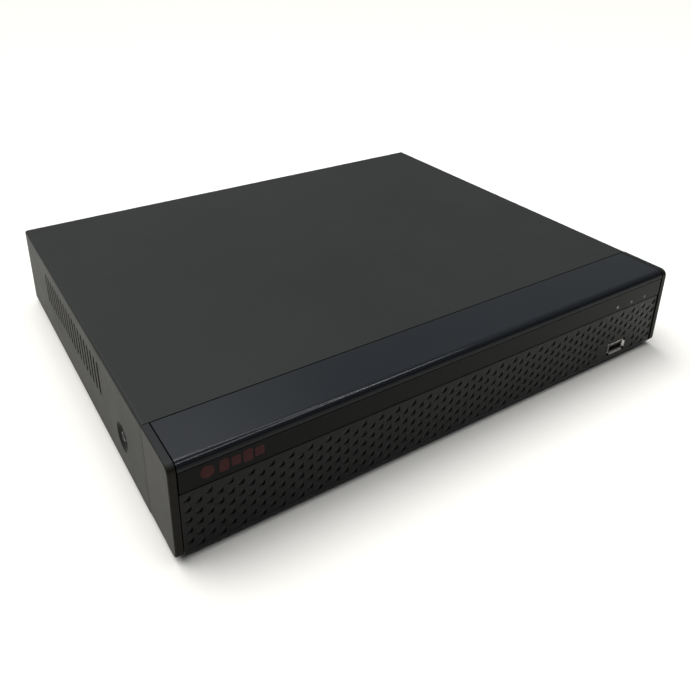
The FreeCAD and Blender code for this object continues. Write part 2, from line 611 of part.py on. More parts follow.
def rca_parts():
    """Two stacked audio sockets. Returns the moulded block that holds them."""
    block = box(RCA_X - 5.5, RCA_X + 5.5, BEHIND - 11.0, BEHIND, DECK, BASE + 42)
    barrels, insulators = [], []
    root, tip = BEHIND - 3.0, WALL + 9.0
    for z in BNC_Z:
        block = block.cut(rod("Y", 4.9, root, BEHIND + 1, RCA_X, z))
        ring = joined(rod("Y", 4.8, root, WALL + 1.0, RCA_X, z),
                      rod("Y", 4.15, root, tip, RCA_X, z))
        barrels.append(ring.cut(rod("Y", 3.55, root + 0.8, tip + 1, RCA_X, z)))
        core = rod("Y", 3.5, root + 0.8, tip - 1.2, RCA_X, z)
        insulators.append(core.cut(rod("Y", 1.65, root + 2.0, tip + 1, RCA_X, z)))
    node("rca_barrels", *barrels)
    node("rca_insulators", *insulators)
    return block


def d_outline(x, z, half_w, half_h, slant, radius):
    return [(x - half_w + slant, z - half_h, radius), (x + half_w - slant, z - half_h, radius),
            (x + half_w, z + half_h, radius), (x - half_w, z + half_h, radius)]


def vga_parts():
    """The fifteen-way monitor socket: D-shaped shell, insulator and two jack posts."""
    z = DECK + 5.5
    plate = rounded("Y", VGA_X - 15.4, VGA_X + 15.4, z - 5.4, z + 6.2, 0.8,
                    BEHIND - 0.8, BEHIND)
    skirt = prism("Y", d_outline(VGA_X, z, 8.45, 4.2, 1.2, 1.5), BEHIND - 0.8, WALL + 5.6)
    hollow = prism("Y", d_outline(VGA_X, z, 8.0, 3.75, 1.1, 1.2), BEHIND - 2, WALL + 7)
    posts = [rod("Y", 1.65, BEHIND - 2, WALL + 2, VGA_X + s * 12.5, z) for s in (-1, 1)]
    node("vga_shell", without(joined(plate, skirt), hollow, *posts))
    core = joined(prism("Y", d_outline(VGA_X, z, 7.95, 3.7, 1.1, 1.2), BEHIND - 0.8,
                        WALL + 4.6),
                  box(VGA_X - 15.4, VGA_X + 15.4, BEHIND - 9, BEHIND - 0.8, DECK, z + 6.0))
    holes = []
    for row, (dz, shift) in enumerate(((1.98, 0.0), (0.0, -1.14), (-1.98, 0.0))):
        for i in range(5):
            x = VGA_X + shift + (i - 2) * 2.29
            holes.append(rod("Y", 0.5, WALL, WALL + 6, x, z + dz))
    holes += [rod("Y", 1.7, BEHIND - 10, BEHIND, VGA_X + s * 12.5, z) for s in (-1, 1)]
    node("vga_insulator", without(core, *holes))
    jacks = []
    for s in (-1, 1):
        x = VGA_X + s * 12.5
        corners = [(x + 2.9 * math.cos(math.radians(60 * k)),
                    z + 2.9 * math.sin(math.radians(60 * k))) for k in range(6)]
        post = joined(prism("Y", corners, BEHIND, WALL + 5.0),
                      rod("Y", 1.6, BEHIND - 6, BEHIND, x, z))
        jacks.append(post.cut(rod("Y", 1.42, WALL - 3.0, WALL + 6, x, z)))
    node("vga_jack_posts", *jacks)


def hdmi_parts():
    z = DECK + 3.3
    outline = [(HDMI_X - 5.6, z - 2.75, 0.6), (HDMI_X + 5.6, z - 2.75, 0.6),
               (HDMI_X + 7.4, z - 0.9, 0.6), (HDMI_X + 7.4, z + 2.75, 0.6),
               (HDMI_X - 7.4, z + 2.75, 0.6), (HDMI_X - 7.4, z - 0.9, 0.6)]
    inner = [(HDMI_X - 5.4, z - 2.4, 0.4), (HDMI_X + 5.4, z - 2.4, 0.4),
             (HDMI_X + 7.0, z - 0.75, 0.4), (HDMI_X + 7.0, z + 2.4, 0.4),
             (HDMI_X - 7.0, z + 2.4, 0.4), (HDMI_X - 7.0, z - 0.75, 0.4)]
    shell = prism("Y", outline, BEHIND - 10, WALL + 0.8)
    node("hdmi_shell", shell.cut(prism("Y", inner, BEHIND - 9.6, WALL + 2)))
    tongue = joined(box(HDMI_X - 6.0, HDMI_X + 6.0, BEHIND - 9.6, WALL - 0.4,
                        z - 0.2, z + 0.9),
                    prism("Y", inner, BEHIND - 9.6, BEHIND - 7.0))
    node("hdmi_tongue", tongue)


def rj45_parts():
    low, high = DECK, DECK + 13.4
    face = WALL + 0.8
    body = box(RJ45_X - 8.0, RJ45_X + 8.0, BEHIND - 20, face, low + 0.2, high)
    mouth = box(RJ45_X - 5.95, RJ45_X + 5.95, face - 13, face + 1, low + 3.4, low + 10.6)
    notch = box(RJ45_X - 3.1, RJ45_X + 3.1, face - 12, face + 1, low + 1.4, low + 4)
    lamps = [box(RJ45_X + a, RJ45_X + a + 2.6, face - 1.2, face + 1, low + 11.2, low + 12.8)
             for a in (-6.9, 4.3)]
    body = softened(without(body, mouth, notch, *lamps), 0.4,
                    lambda e, m: along(e, "Y") and abs(m.x - RJ45_X) > 7.9)
    node("rj45_housing", body)
    node("rj45_lamps", *[box(RJ45_X + a, RJ45_X + a + 2.6, face - 1.2, face + 0.05,
                             low + 11.2, low + 12.8) for a in (-6.9, 4.3)])


def rj45_contacts():
    face, high = WALL + 0.8, DECK + 10.6
    places = [RJ45_X + (i - 3.5) * 1.02 for i in range(8)]
    return [box(x - 0.22, x + 0.22, face - 11, face - 3, high - 0.7, high) for x in places]


def power_inlet():
    body = joined(box(DC_X - 4.5, DC_X + 4.5, BEHIND - 10, WALL + 0.6, DC_Z - 5.5,
                      DC_Z + 5.5),
                  box(DC_X - 4.5, DC_X + 4.5, BEHIND - 10, BEHIND - 0.3, DECK, DC_Z))
    bore = rod("Y", 3.2, BEHIND - 7.5, WALL + 2, DC_X, DC_Z)
    node("dc_jack_housing", body.cut(bore))
    node("dc_jack_pin", rod("Y", 1.0, BEHIND - 7.5, WALL - 0.4, DC_X, DC_Z))
    node("ground_screw", pan_head_screw("Y", 1, WALL, GROUND_X, GROUND_Z, 3.4, 2.2, 1.45, 5.0))


def switch_parts():
    """Rocker power switch. The rocker turns on a pin that stands in its housing."""
    x, z = SWITCH_X, SWITCH_Z
    flange = rounded("Y", x - 7.5, x + 7.5, z - 10.5, z + 10.5, 1.0, WALL, WALL + 1.6)
    flange = softened(flange, 0.6, lambda e, m: near(m.y, WALL + 1.6))
    body = rounded("Y", x - 6.45, x + 6.45, z - 9.55, z + 9.55, 0.6, BEHIND - 11.5, WALL)
    well = box(x - 5.1, x + 5.1, BEHIND - 6.5, WALL + 3, z - 8.75, z + 8.75)
    pivot_y = WALL - 1.4
    bore = rod("X", 1.1, x - 5.9, x + 5.9, pivot_y, z)
    tails = [box(x - 2.4, x + 2.4, BEHIND - 19, BEHIND - 11.5, z + d - 0.4, z + d + 0.4)
             for d in (-5.0, 5.0)]
    node("switch_housing", without(joined(flange, body), well, bore))
    node("switch_terminals", *tails)
    drum = rod("X", 8.5, x - 4.85, x + 4.85, pivot_y, z)
    face_y = pivot_y + 3.6
    keep = prism("X", [(pivot_y - 2.6, z - 9), (face_y, z - 9), (face_y - 0.7, z),
                       (face_y, z + 9), (pivot_y - 2.6, z + 9)], x - 5, x + 5)
    rocker = joined(drum.common(keep), rod("X", 1.04, x - 5.7, x + 5.7, pivot_y, z))
    rocker.rotate(Vector(x, pivot_y, z), Vector(1, 0, 0), SWITCH_TILT)
    node("switch_rocker", rocker)


# ---------------------------------------------------------------- fan
def fan_parts():
    """A 40 mm fan behind the rear grille: frame, rotor on a shaft, and four screws."""
    half = FAN_SIZE / 2
    back, face = BEHIND - FAN_THICK, BEHIND
    frame = rounded("Y", FAN_X - half, FAN_X + half, FAN_Z - half, FAN_Z + half, 3.0,
                    back, face)
    frame = frame.cut(rod("Y", 19.0, back - 1, face + 1, FAN_X, FAN_Z))
    seat = rod("Y", 11.0, back, back + 1.2, FAN_X, FAN_Z)
    bush = rod("Y", 3.0, back, back + 6.0, FAN_X, FAN_Z)
    arms = []
    for k in range(3):
        arm = box(0, 20.5, back, back + 1.2, -1.0, 1.0)
        arm.rotate(Vector(0, 0, 0), Vector(0, 1, 0), 30 + 120 * k)
        arm.translate(Vector(FAN_X, 0, FAN_Z))
        arms.append(arm)
    frame = joined(frame, seat, bush, *arms)
    frame = without(frame, rod("Y", 1.05, back + 0.6, face, FAN_X, FAN_Z),
                    *[rod("Y", 1.9, back - 1, face + 1, x, z) for x, z in fan_screw_places()])
    node("fan_frame", frame)
    hub_low, hub_high = back + 1.9, face - 0.8
    cup = rod("Y", 11.5, hub_low, hub_high, FAN_X, FAN_Z)
    cup = softened(cup, 0.8, lambda e, m: near(m.y, hub_high))
    cup = cup.cut(rod("Y", 10.3, hub_low - 1, hub_high - 1.2, FAN_X, FAN_Z))
    shaft = rod("Y", 1.0, back + 0.8, hub_high - 0.6, FAN_X, FAN_Z)
    blades = []
    for k in range(7):
        sections = []
        for reach, lean in ((11.0, 38.0), (18.3, 55.0)):
            wide, thick = 3.6, 0.5
            ends = []
            for a, b in ((-wide, -thick), (wide, -thick), (wide, thick), (-wide, thick)):
                turn = math.radians(lean)
                across = a * math.sin(turn) - b * math.cos(turn)
                deep = a * math.cos(turn) + b * math.sin(turn)
                ends.append(Vector(across, (hub_low + hub_high) / 2 + deep, reach))
            sections.append(Part.makePolygon(ends + [ends[0]]))
        blade = Part.makeLoft(sections, True, True)
        blade.rotate(Vector(0, 0, 0), Vector(0, 1, 0), 360.0 * k / 7)
        blade.translate(Vector(FAN_X, 0, FAN_Z))
        blades.append(blade)
    limit = rod("Y", 18.4, back + 1.5, face - 0.4, FAN_X, FAN_Z)
    rotor = joined(cup, shaft, *[blade.common(limit) for blade in blades])
    node("fan_rotor", rotor.cut(rod("Y", 3.3, hub_low - 1, back + 6.3, FAN_X, FAN_Z).cut(
        rod("Y", 1.0, hub_low - 2, back + 7, FAN_X, FAN_Z))))
    node("fan_screws", *[pan_head_screw("Y", 1, WALL, x, z, 3.0, 1.9, 1.7, 9.0)
                         for x, z in fan_screw_places()])


# ---------------------------------------------------------------- hard disk
SPINDLE_X, SPINDLE_Y = DISK_X + 54.0, DISK_Y + DISK_WIDTH / 2
PIVOT_X, PIVOT_Y = DISK_X + 112.0, DISK_Y + 76.0
PLATTER_Z = [DISK_Z + 12.5, DISK_Z + 16.5]


def disk_screw_places():
    return [(DISK_X + x, DISK_Y + y) for x in (41.3, 85.7) for y in (3.2, 98.4)]


def disk_cavity(low, high):
    """The drive's chamber: a round well for the platters and a bay for the arm."""
    return joined(rod("Z", 48.7, low, high, SPINDLE_X, SPINDLE_Y),
                  rounded("Z", DISK_X + 62, DISK_X + 139, DISK_Y + 9, DISK_Y + 96, 6.0,
                          low, high))


def disk_parts():
    lid = 2.0
    x1, y1 = DISK_X + DISK_LENGTH, DISK_Y + DISK_WIDTH
    top = DISK_Z + DISK_HEIGHT
    tray = rounded("Z", DISK_X, x1, DISK_Y, y1, 2.5, DISK_Z + 1.4, top - lid)
    tray = tray.cut(disk_cavity(DISK_Z + 8.0, top))
    tray = without(tray, box(DISK_X + 14, x1 - 12, DISK_Y + 8, y1 - 8, DISK_Z, DISK_Z + 5.5),
                   box(x1 - 14, x1 + 1, DISK_Y + 24, DISK_Y + 74, DISK_Z, DISK_Z + 7.0),
                   *[rod("Z", 1.5, DISK_Z, DISK_Z + 6.5, x, y) for x, y in disk_screw_places()])
    tray = joined(tray, rod("Z", 3.0, DISK_Z + 7.0, DISK_Z + 19.5, PIVOT_X, PIVOT_Y),
                  rod("Z", 4.0, DISK_Z + 7.0, DISK_Z + 11.0, SPINDLE_X, SPINDLE_Y))
    legs = [rod("Z", 3.1, DISK_Z, DISK_Z + 2.0, x, y).cut(
        rod("Z", 1.5, DISK_Z - 1, DISK_Z + 3, x, y)) for x, y in disk_screw_places()]
    tray = joined(tray, *legs)
    bore = rod("Z", 1.6, DISK_Z + 8.0, DISK_Z + 12.0, SPINDLE_X, SPINDLE_Y)
    node("hdd_base", tray.cut(bore))
    plate = rounded("Z", DISK_X, x1, DISK_Y, y1, 2.5, top - lid, top)
    plate = softened(plate, 0.6, lambda e, m: near(m.z, top))
    pocket = rounded("Z", DISK_X + 12, x1 - 30, DISK_Y + 12, y1 - 12, 4.0, top - 0.6, top + 1)
    node("hdd_cover", plate.cut(pocket))
    platters = [rod("Z", 47.5, z, z + 1.3, SPINDLE_X, SPINDLE_Y) for z in PLATTER_Z]
    hub = rod("Z", 12.5, DISK_Z + 11.4, DISK_Z + 21.0, SPINDLE_X, SPINDLE_Y)
    hub = hub.cut(rod("Z", 9.0, DISK_Z + 19.5, DISK_Z + 22, SPINDLE_X, SPINDLE_Y))
    pin = rod("Z", 1.55, DISK_Z + 8.3, DISK_Z + 12, SPINDLE_X, SPINDLE_Y)
    node("hdd_platters", joined(hub, pin, *platters))
    node("hdd_arm", disk_arm())
    node("hdd_board", rounded("Z", DISK_X + 16, x1 - 13, DISK_Y + 10, y1 - 10, 1.0,
                              DISK_Z + 1.0, DISK_Z + 2.4))
    plug = box(x1 - 12.8, x1, DISK_Y + 26, DISK_Y + 72, DISK_Z + 1.0, DISK_Z + 6.8)
    slots = [box(x1 - 8, x1 + 1, DISK_Y + 29, DISK_Y + 41, DISK_Z + 2.0, DISK_Z + 4.4),
             box(x1 - 8, x1 + 1, DISK_Y + 44, DISK_Y + 67, DISK_Z + 2.0, DISK_Z + 4.4)]
    node("hdd_connector", without(plug, *slots))
    node("hdd_screws", *[pan_head_screw("Z", -1, BASE, x, y, 3.1, 1.6, 1.4, 6.5)
                         for x, y in disk_screw_places()])


def disk_arm():
    """The head arm, parked outside the platters: two leaves, a bearing ring and its coil."""
    ring = rod("Z", 7.0, DISK_Z + 9.0, DISK_Z + 20.5, PIVOT_X, PIVOT_Y)
    leaves = []
    for z in [PLATTER_Z[0] + 2.0, PLATTER_Z[1] + 2.0]:
        outline = [(PIVOT_X - 5, PIVOT_Y + 5), (PIVOT_X - 56, PIVOT_Y + 1.6, 1.0),
                   (PIVOT_X - 56, PIVOT_Y - 1.6, 1.0), (PIVOT_X - 5, PIVOT_Y - 5)]
        leaves.append(prism("Z", outline, z, z + 0.9))
    coil = prism("Z", [(PIVOT_X + 3, PIVOT_Y - 5), (PIVOT_X + 22, PIVOT_Y - 10, 3.0),
                       (PIVOT_X + 22, PIVOT_Y + 10, 3.0), (PIVOT_X + 3, PIVOT_Y + 5)],
                 DISK_Z + 12.0, DISK_Z + 15.5)
    arm = joined(ring, coil, *leaves)
    arm = arm.cut(rod("Z", 3.05, DISK_Z + 8, DISK_Z + 22, PIVOT_X, PIVOT_Y))
    arm.rotate(Vector(PIVOT_X, PIVOT_Y, 0), Vector(0, 0, 1), ARM_PARK)
    return arm


# ---------------------------------------------------------------- internal cables
def cables():
    """Cables held at both ends inside the case, in tangent runs and arcs."""
    disk_face = DISK_X + DISK_LENGTH
    plug_z, plug_reach = DISK_Z + 3.2, 8.0
    port_y, port_top = MAIN_Y0 + 3.0, DECK + 8.5
    start = disk_face + plug_reach
    data_y, power_y = DISK_Y + 35, DISK_Y + 55.5
    data_x, power_x = SATA_X
    data = [(start, data_y, plug_z), (start + 12, data_y, plug_z),
            (start + 24, data_y + 16, plug_z + 14), (data_x + 4, port_y - 24, port_top + 16),
            (data_x, port_y, port_top + 18), (data_x, port_y, port_top + 6)]
    power = [(start, power_y, plug_z), (start + 13, power_y, plug_z),
             (start + 28, power_y + 10, plug_z + 12), (power_x + 2, port_y - 22, port_top + 15),
             (power_x, port_y, port_top + 18), (power_x, port_y, port_top + 6)]
    node("sata_cables", tube(data, 2.2), tube(power, 2.6))
    plugs = [box(disk_face, start, y - half, y + half, plug_z - 2.8, plug_z + 2.8)
             for y, half in ((data_y, 5.8), (power_y, 11.2))]
    plugs += [box(x - 7.6, x + 7.6, port_y - 2.6, port_y + 2.6, port_top, port_top + 6)
              for x in SATA_X]
    node("sata_plugs", *plugs)
    front_start, header_top = BOARD_FACE + 7.0, DECK + 5.0
    front_end_y = MAIN_Y0 + 8
    front = [(110.0, front_start, BASE + 32.2), (110.0, front_start + 14, BASE + 32.2),
             (106.0, front_start + 34, BASE + 26.0), (98.0, front_start + 60, BASE + 18.0),
             (90.0, MAIN_Y0 - 10, BASE + 18.0), (86.0, front_end_y, BASE + 24.0),
             (86.0, front_end_y, header_top)]
    fan_start, fan_end = (-108.0, BEHIND - FAN_THICK, BASE + 8.0), (-92.0, 76.0)
    fan = [fan_start, (-108.0, fan_start[1] - 9, BASE + 8.0), (-105.0, 84.0, BASE + 17.0),
           (*fan_end, BASE + 22.0), (*fan_end, header_top)]
    node("board_leads", tube(front, 2.0), tube(fan, 1.2))
    node("cable_headers",
         box(103, 117, BOARD_FACE + 1.2, front_start, BASE + 29.5, BASE + 35.0),
         box(80, 92, front_end_y - 3, front_end_y + 3, DECK, header_top),
         box(fan_end[0] - 3, fan_end[0] + 3, fan_end[1] - 3, fan_end[1] + 3, DECK, header_top))


def build():
    node("top_cover", top_cover())
    cover_screws()
    node("chassis_pan", chassis_pan())
    node("rear_panel", *rear_panel())
    node("rubber_feet", *rubber_feet())
    node("bezel_frame", bezel_frame())
    node("top_fascia", top_fascia())
    node("indicator_window", indicator_window())
    node("dimpled_panel", *dimpled_panel())
    front_board_parts()
    main_board_parts()
    node("connector_housings", bnc_parts(), rca_parts())
    vga_parts()
    hdmi_parts()
    usb_parts()
    rj45_parts()
    power_inlet()
    switch_parts()
    fan_parts()
    disk_parts()
    cables()


build()
os.makedirs("parts", exist_ok=True)
for name, shape in NODES.items():
    shape.exportStep(os.path.join("parts", name + ".step"))
print(len(NODES), "nodes written")
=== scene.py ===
import math

import bmesh
import bpy
from mathutils import Matrix, Vector
from mathutils.bvhtree import BVHTree


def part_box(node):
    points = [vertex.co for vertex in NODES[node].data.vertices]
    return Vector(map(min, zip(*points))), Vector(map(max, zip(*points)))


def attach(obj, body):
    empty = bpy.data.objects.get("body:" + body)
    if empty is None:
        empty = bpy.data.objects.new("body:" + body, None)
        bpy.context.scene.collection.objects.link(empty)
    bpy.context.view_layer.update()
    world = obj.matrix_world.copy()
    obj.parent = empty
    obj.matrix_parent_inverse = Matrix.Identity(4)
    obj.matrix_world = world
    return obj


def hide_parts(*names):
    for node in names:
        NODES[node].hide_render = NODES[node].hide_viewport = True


# The looks of a compact desktop video recorder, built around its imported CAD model. Metres, in
# the model's own frame: +X is the recorder's right seen from the front, +Y its back, +Z up.

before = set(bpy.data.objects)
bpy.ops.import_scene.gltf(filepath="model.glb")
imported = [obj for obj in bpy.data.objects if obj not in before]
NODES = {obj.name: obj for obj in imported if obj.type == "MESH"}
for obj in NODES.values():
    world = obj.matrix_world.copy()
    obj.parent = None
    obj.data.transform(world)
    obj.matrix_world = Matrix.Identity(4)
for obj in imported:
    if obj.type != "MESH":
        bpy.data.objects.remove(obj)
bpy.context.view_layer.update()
MM = 0.001


# ---------------------------------------------------------------- view and light
# where the photo's camera stood and how it looked, fitted to points of the object
CAMERA_PLACE = (-0.2115, -0.3357, 0.2433)
CAMERA_AZIMUTH, CAMERA_ELEVATION, CAMERA_ROLL = -32.10, 23.96, 0.26    # degrees
CAMERA_LENS, CAMERA_SENSOR = 37.87, 36.0    # mm
CAMERA_SHIFT = (0.0319, -0.1812)            # shares of the sensor
FLOOR_REACH = 6.0                           # from the middle to each edge
SUN_SPREAD = math.radians(60)


def make_camera():
    """Front left, from above, as a hand-held camera sees it half a metre away."""
    azimuth, elevation, roll = (math.radians(angle) for angle in
                                (CAMERA_AZIMUTH, CAMERA_ELEVATION, CAMERA_ROLL))
    look = Vector((-math.sin(azimuth) * math.cos(elevation),
                   math.cos(azimuth) * math.cos(elevation), -math.sin(elevation)))
    data = bpy.data.cameras.new("camera")
    data.lens, data.sensor_width = CAMERA_LENS, CAMERA_SENSOR
    data.shift_x, data.shift_y = CAMERA_SHIFT
    camera = bpy.data.objects.new("camera", data)
    bpy.context.scene.collection.objects.link(camera)
    turn = look.to_track_quat("-Z", "Y").to_matrix().to_4x4()
    camera.matrix_world = Matrix.Translation(CAMERA_PLACE) @ turn @ Matrix.Rotation(roll, 4, "Z")
    bpy.context.scene.camera = camera


def add_light(name, kind, energy, place, target=(0.0, 0.0, 0.0), **settings):
    data = bpy.data.lights.new(name, kind)
    data.energy = energy
    for key, value in settings.items():
        setattr(data, key, value)
    lamp = bpy.data.objects.new(name, data)
    bpy.context.scene.collection.objects.link(lamp)
    lamp.location = place
    aim = (Vector(target) - Vector(place)).to_track_quat("-Z", "Y")
    lamp.rotation_mode = "QUATERNION"
    lamp.rotation_quaternion = aim


def make_world():
    """A pale surround: a gentle fall of light from back to front, and one soft bright patch."""
    world = bpy.data.worlds.new("studio")
    world.use_nodes = True
    nodes, links = world.node_tree.nodes, world.node_tree.links
    spot = nodes.new("ShaderNodeTexCoord").outputs["Generated"]

    def glow(toward, low, high, least, most):
        """A level that rises from least to most as the view turns toward a direction."""
        way = nodes.new("ShaderNodeVectorMath")
        way.operation = "DOT_PRODUCT"
        links.new(spot, way.inputs[0])
        way.inputs[1].default_value = toward
        level = nodes.new("ShaderNodeMapRange")
        level.interpolation_type = "SMOOTHSTEP"
        links.new(way.outputs["Value"], level.inputs["Value"])
        for key, value in (("From Min", low), ("From Max", high), ("To Min", least),
                           ("To Max", most)):
            level.inputs[key].default_value = value
        return level.outputs["Result"]

    behind = glow(toward=(0.0, 1.0, 0.0), low=-0.7, high=0.9, least=0.04, most=0.30)
    patch = glow(toward=(0.15, 0.62, 0.77), low=0.94, high=1.0, least=0.0, most=1.0)
    both = nodes.new("ShaderNodeMath")
    both.operation = "ADD"
    links.new(behind, both.inputs[0])
    links.new(patch, both.inputs[1])
    seen = nodes.new("ShaderNodeMath")
    seen.operation = "MAXIMUM"
    links.new(both.outputs[0], seen.inputs[0])
    links.new(nodes.new("ShaderNodeLightPath").outputs["Is Camera Ray"], seen.inputs[1])
    surround = nodes["Background"]
    surround.inputs["Color"].default_value = (0.96, 0.98, 1.0, 1.0)
    links.new(seen.outputs[0], surround.inputs["Strength"])
    bpy.context.scene.world = world


def make_lights():
    """A broad soft key, high behind on the left, and two narrow strips over the front edge."""
    add_light("key", "SUN", 3.6, (-0.55, 0.7, 1.75), angle=SUN_SPREAD,
              color=(1.0, 0.99, 0.97))
    for name, energy, y in (("strip_behind", 1.4, 0.02), ("strip_before", 2.3, -0.50)):
        add_light(name, "AREA", energy, (0.2, y, 0.9), target=(0.0, -0.12, 0.05),
                  shape="RECTANGLE", size=0.9, size_y=0.03)
    bpy.context.scene.view_settings.view_transform = "Standard"


def make_floor():
    mesh = bpy.data.meshes.new("floor")
    far = FLOOR_REACH
    mesh.from_pydata([(-far, -far, 0), (far, -far, 0), (far, far, 0), (-far, far, 0)],
                     [], [(0, 1, 2, 3)])
    floor = bpy.data.objects.new("floor", mesh)
    bpy.context.scene.collection.objects.link(floor)
    paper = Finish("floor", (0.83, 0.825, 0.80), roughness=0.9, specular=0.1)
    paper.vary_colour(paper.noise(3.0, 2.0), (0.82, 0.815, 0.79), (0.84, 0.835, 0.81))
    mesh.materials.append(paper.material)


# ---------------------------------------------------------------- materials
class Finish:
    """A Principled material and the node chains that give its colour, roughness and relief."""

    def __init__(self, name, colour, roughness, metallic=0.0, specular=0.5):
        self.material = bpy.data.materials.new(name)
        self.material.use_nodes = True
        self.tree = self.material.node_tree
        self.shader = self.tree.nodes["Principled BSDF"]
        self.shader.inputs["Base Color"].default_value = (*colour, 1.0)
        self.shader.inputs["Roughness"].default_value = roughness
        self.shader.inputs["Metallic"].default_value = metallic
        self.shader.inputs["Specular IOR Level"].default_value = specular
        self.material.diffuse_color = (*colour, 1.0)
        self.place = self.add("ShaderNodeTexCoord").outputs["Object"]
        self.relief = None

    def add(self, kind, inputs=None, **settings):
        """A new node. Inputs are values or the sockets to link from."""
        node = self.tree.nodes.new(kind)
        for key, value in settings.items():
            setattr(node, key, value)
        for key, value in (inputs or {}).items():
            if isinstance(value, bpy.types.NodeSocket):
                self.tree.links.new(value, node.inputs[key])
            else:
                node.inputs[key].default_value = value
        return node

    def link(self, source, socket):
        self.tree.links.new(source, self.shader.inputs[socket])

    def stretched(self, x, y, z):
        """The object's coordinates, scaled along each axis."""
        return self.add("ShaderNodeMapping", {"Vector": self.place, "Scale": (x, y, z)}).outputs[0]

    def noise(self, per_metre, detail=2.0, roughness=0.5, vector=None):
        node = self.add("ShaderNodeTexNoise", {"Vector": vector or self.place,
                                               "Scale": per_metre, "Detail": detail,
                                               "Roughness": roughness})
        return node.outputs["Fac"]

    def cells(self, per_metre):
        node = self.add("ShaderNodeTexVoronoi", {"Vector": self.place, "Scale": per_metre})
        return node.outputs["Distance"]

    def axis(self, name):
        return self.add("ShaderNodeSeparateXYZ", {"Vector": self.place}).outputs[name]

    def up(self):
        """How far the surface faces up: 1 on a top face, 0 on a wall."""
        normal = self.add("ShaderNodeNewGeometry").outputs["Normal"]
        return self.add("ShaderNodeSeparateXYZ", {"Vector": normal}).outputs["Z"]

    def levels(self, source, low, high, to_low=0.0, to_high=1.0):
        node = self.add("ShaderNodeMapRange", {"Value": source, "From Min": low,
                                               "From Max": high, "To Min": to_low,
                                               "To Max": to_high})
        return node.outputs["Result"]

    def math(self, operation, a, b=0.0):
        return self.add("ShaderNodeMath", {0: a, 1: b}, operation=operation).outputs[0]

    def mixed(self, share, a, b):
        """A colour from a to b as share goes from 0 to 1. a and b are colours or sockets."""
        ends = [(*c, 1.0) if isinstance(c, tuple) else c for c in (a, b)]
        node = self.add("ShaderNodeMix", {"Factor": share, 6: ends[0], 7: ends[1]},
                        data_type="RGBA")
        return node.outputs[2]

    def vary_colour(self, share, a, b):
        self.link(self.mixed(share, a, b), "Base Color")

    def vary_roughness(self, source, low, high, a, b):
        self.link(self.levels(source, low, high, a, b), "Roughness")

    def raise_by(self, height, depth, strength=1.0):
        """Adds relief of the given depth, in metres, on top of what is there."""
        inputs = {"Height": height, "Distance": depth, "Strength": strength}
        if self.relief is not None:
            inputs["Normal"] = self.relief
        self.relief = self.add("ShaderNodeBump", inputs).outputs["Normal"]
        self.link(self.relief, "Normal")


def powder_coat(name, colour, worn, roughness, specular, shaded_walls=None):
    """Black polyester powder on steel: fine orange peel, faint mottling and dull patches.

    walls holds the two colours of the upright faces: painted shade, darker than the top, which gets
    more of the light."""
    coat = Finish(name, colour, roughness, specular=specular)
    mottle = coat.levels(coat.noise(14.0, 3.0), 0.35, 0.65)
    shade = coat.mixed(mottle, colour, worn)
    if shaded_walls:
        # painted shade: the upright faces take the darker wall colours, the top keeps its own
        shade = coat.mixed(coat.levels(coat.up(), 0.3, 0.9), coat.mixed(mottle, *shaded_walls), shade)
    coat.link(shade, "Base Color")
    coat.vary_roughness(coat.noise(45.0, 4.0, 0.6), 0.3, 0.7, roughness - 0.02,
                        roughness + 0.03)
    coat.raise_by(coat.noise(1500.0, 2.0, 0.7), 0.00006, 0.55)
    coat.raise_by(coat.noise(300.0, 1.0), 0.00010, 0.12)
    return coat.material


def spark_grain(plastic, dullest, shiniest, depth):
    """The uneven shine and the fine relief that a spark-eroded mould leaves."""
    plastic.vary_roughness(plastic.noise(90.0, 4.0, 0.6), 0.3, 0.7, shiniest, dullest)
    plastic.raise_by(plastic.noise(2200.0, 2.0, 0.6), depth, 0.6)


def flow_mottle(plastic):
    """The slow, soft clouding of moulded plastic, from 0 to 1."""
    return plastic.levels(plastic.noise(25.0, 3.0), 0.35, 0.65)


def moulded(name, colour, other, roughness, specular=0.5, depth=0.00003):
    """Moulded plastic with a fine spark-eroded grain."""
    plastic = Finish(name, colour, roughness, specular=specular)
    plastic.vary_colour(flow_mottle(plastic), colour, other)
    spark_grain(plastic, roughness + 0.05, roughness - 0.04, depth)
    return plastic.material


def bezel_grain(name):
    """Black grained moulding: painted light makes it a little lighter and greyer where it faces up,
    and painted shade makes it darker and warmer on its walls.
    """
    bezel = Finish(name, (0.0080, 0.0072, 0.0050), 0.40, specular=0.07)
    mottle = flow_mottle(bezel)
    # painted light and shade: the walls darker and warmer, the up-facing faces lighter and greyer
    shaded_wall = bezel.mixed(mottle, (0.0075, 0.0068, 0.0046), (0.0095, 0.0087, 0.0062))
    lit_top = bezel.mixed(mottle, (0.0170, 0.0188, 0.0196), (0.0190, 0.0208, 0.0214))
    bezel.vary_colour(bezel.levels(bezel.up(), 0.6, 0.97), shaded_wall, lit_top)
    spark_grain(bezel, 0.42, 0.39, 0.00003)
    return bezel.material


def wiped_streaks(plastic):
    """The pattern of haze that wiping leaves, drawn out along X."""
    return plastic.noise(60.0, 5.0, 0.65, plastic.stretched(0.35, 1.0, 1.0))


def smoked_gloss(name):
    """The window's polished plastic: a slow flow ripple, and faint haze where it was wiped."""
    colour, roughness = (0.002, 0.002, 0.002), 0.07
    window = Finish(name, colour, roughness, specular=0.06)
    window.vary_colour(window.levels(window.noise(18.0, 2.0), 0.3, 0.7), colour,
                       (0.003, 0.003, 0.003))
    window.vary_roughness(wiped_streaks(window), 0.4, 0.75, roughness, roughness + 0.03)
    window.raise_by(window.noise(70.0, 1.0), 0.00005, 0.05)
    return window.material


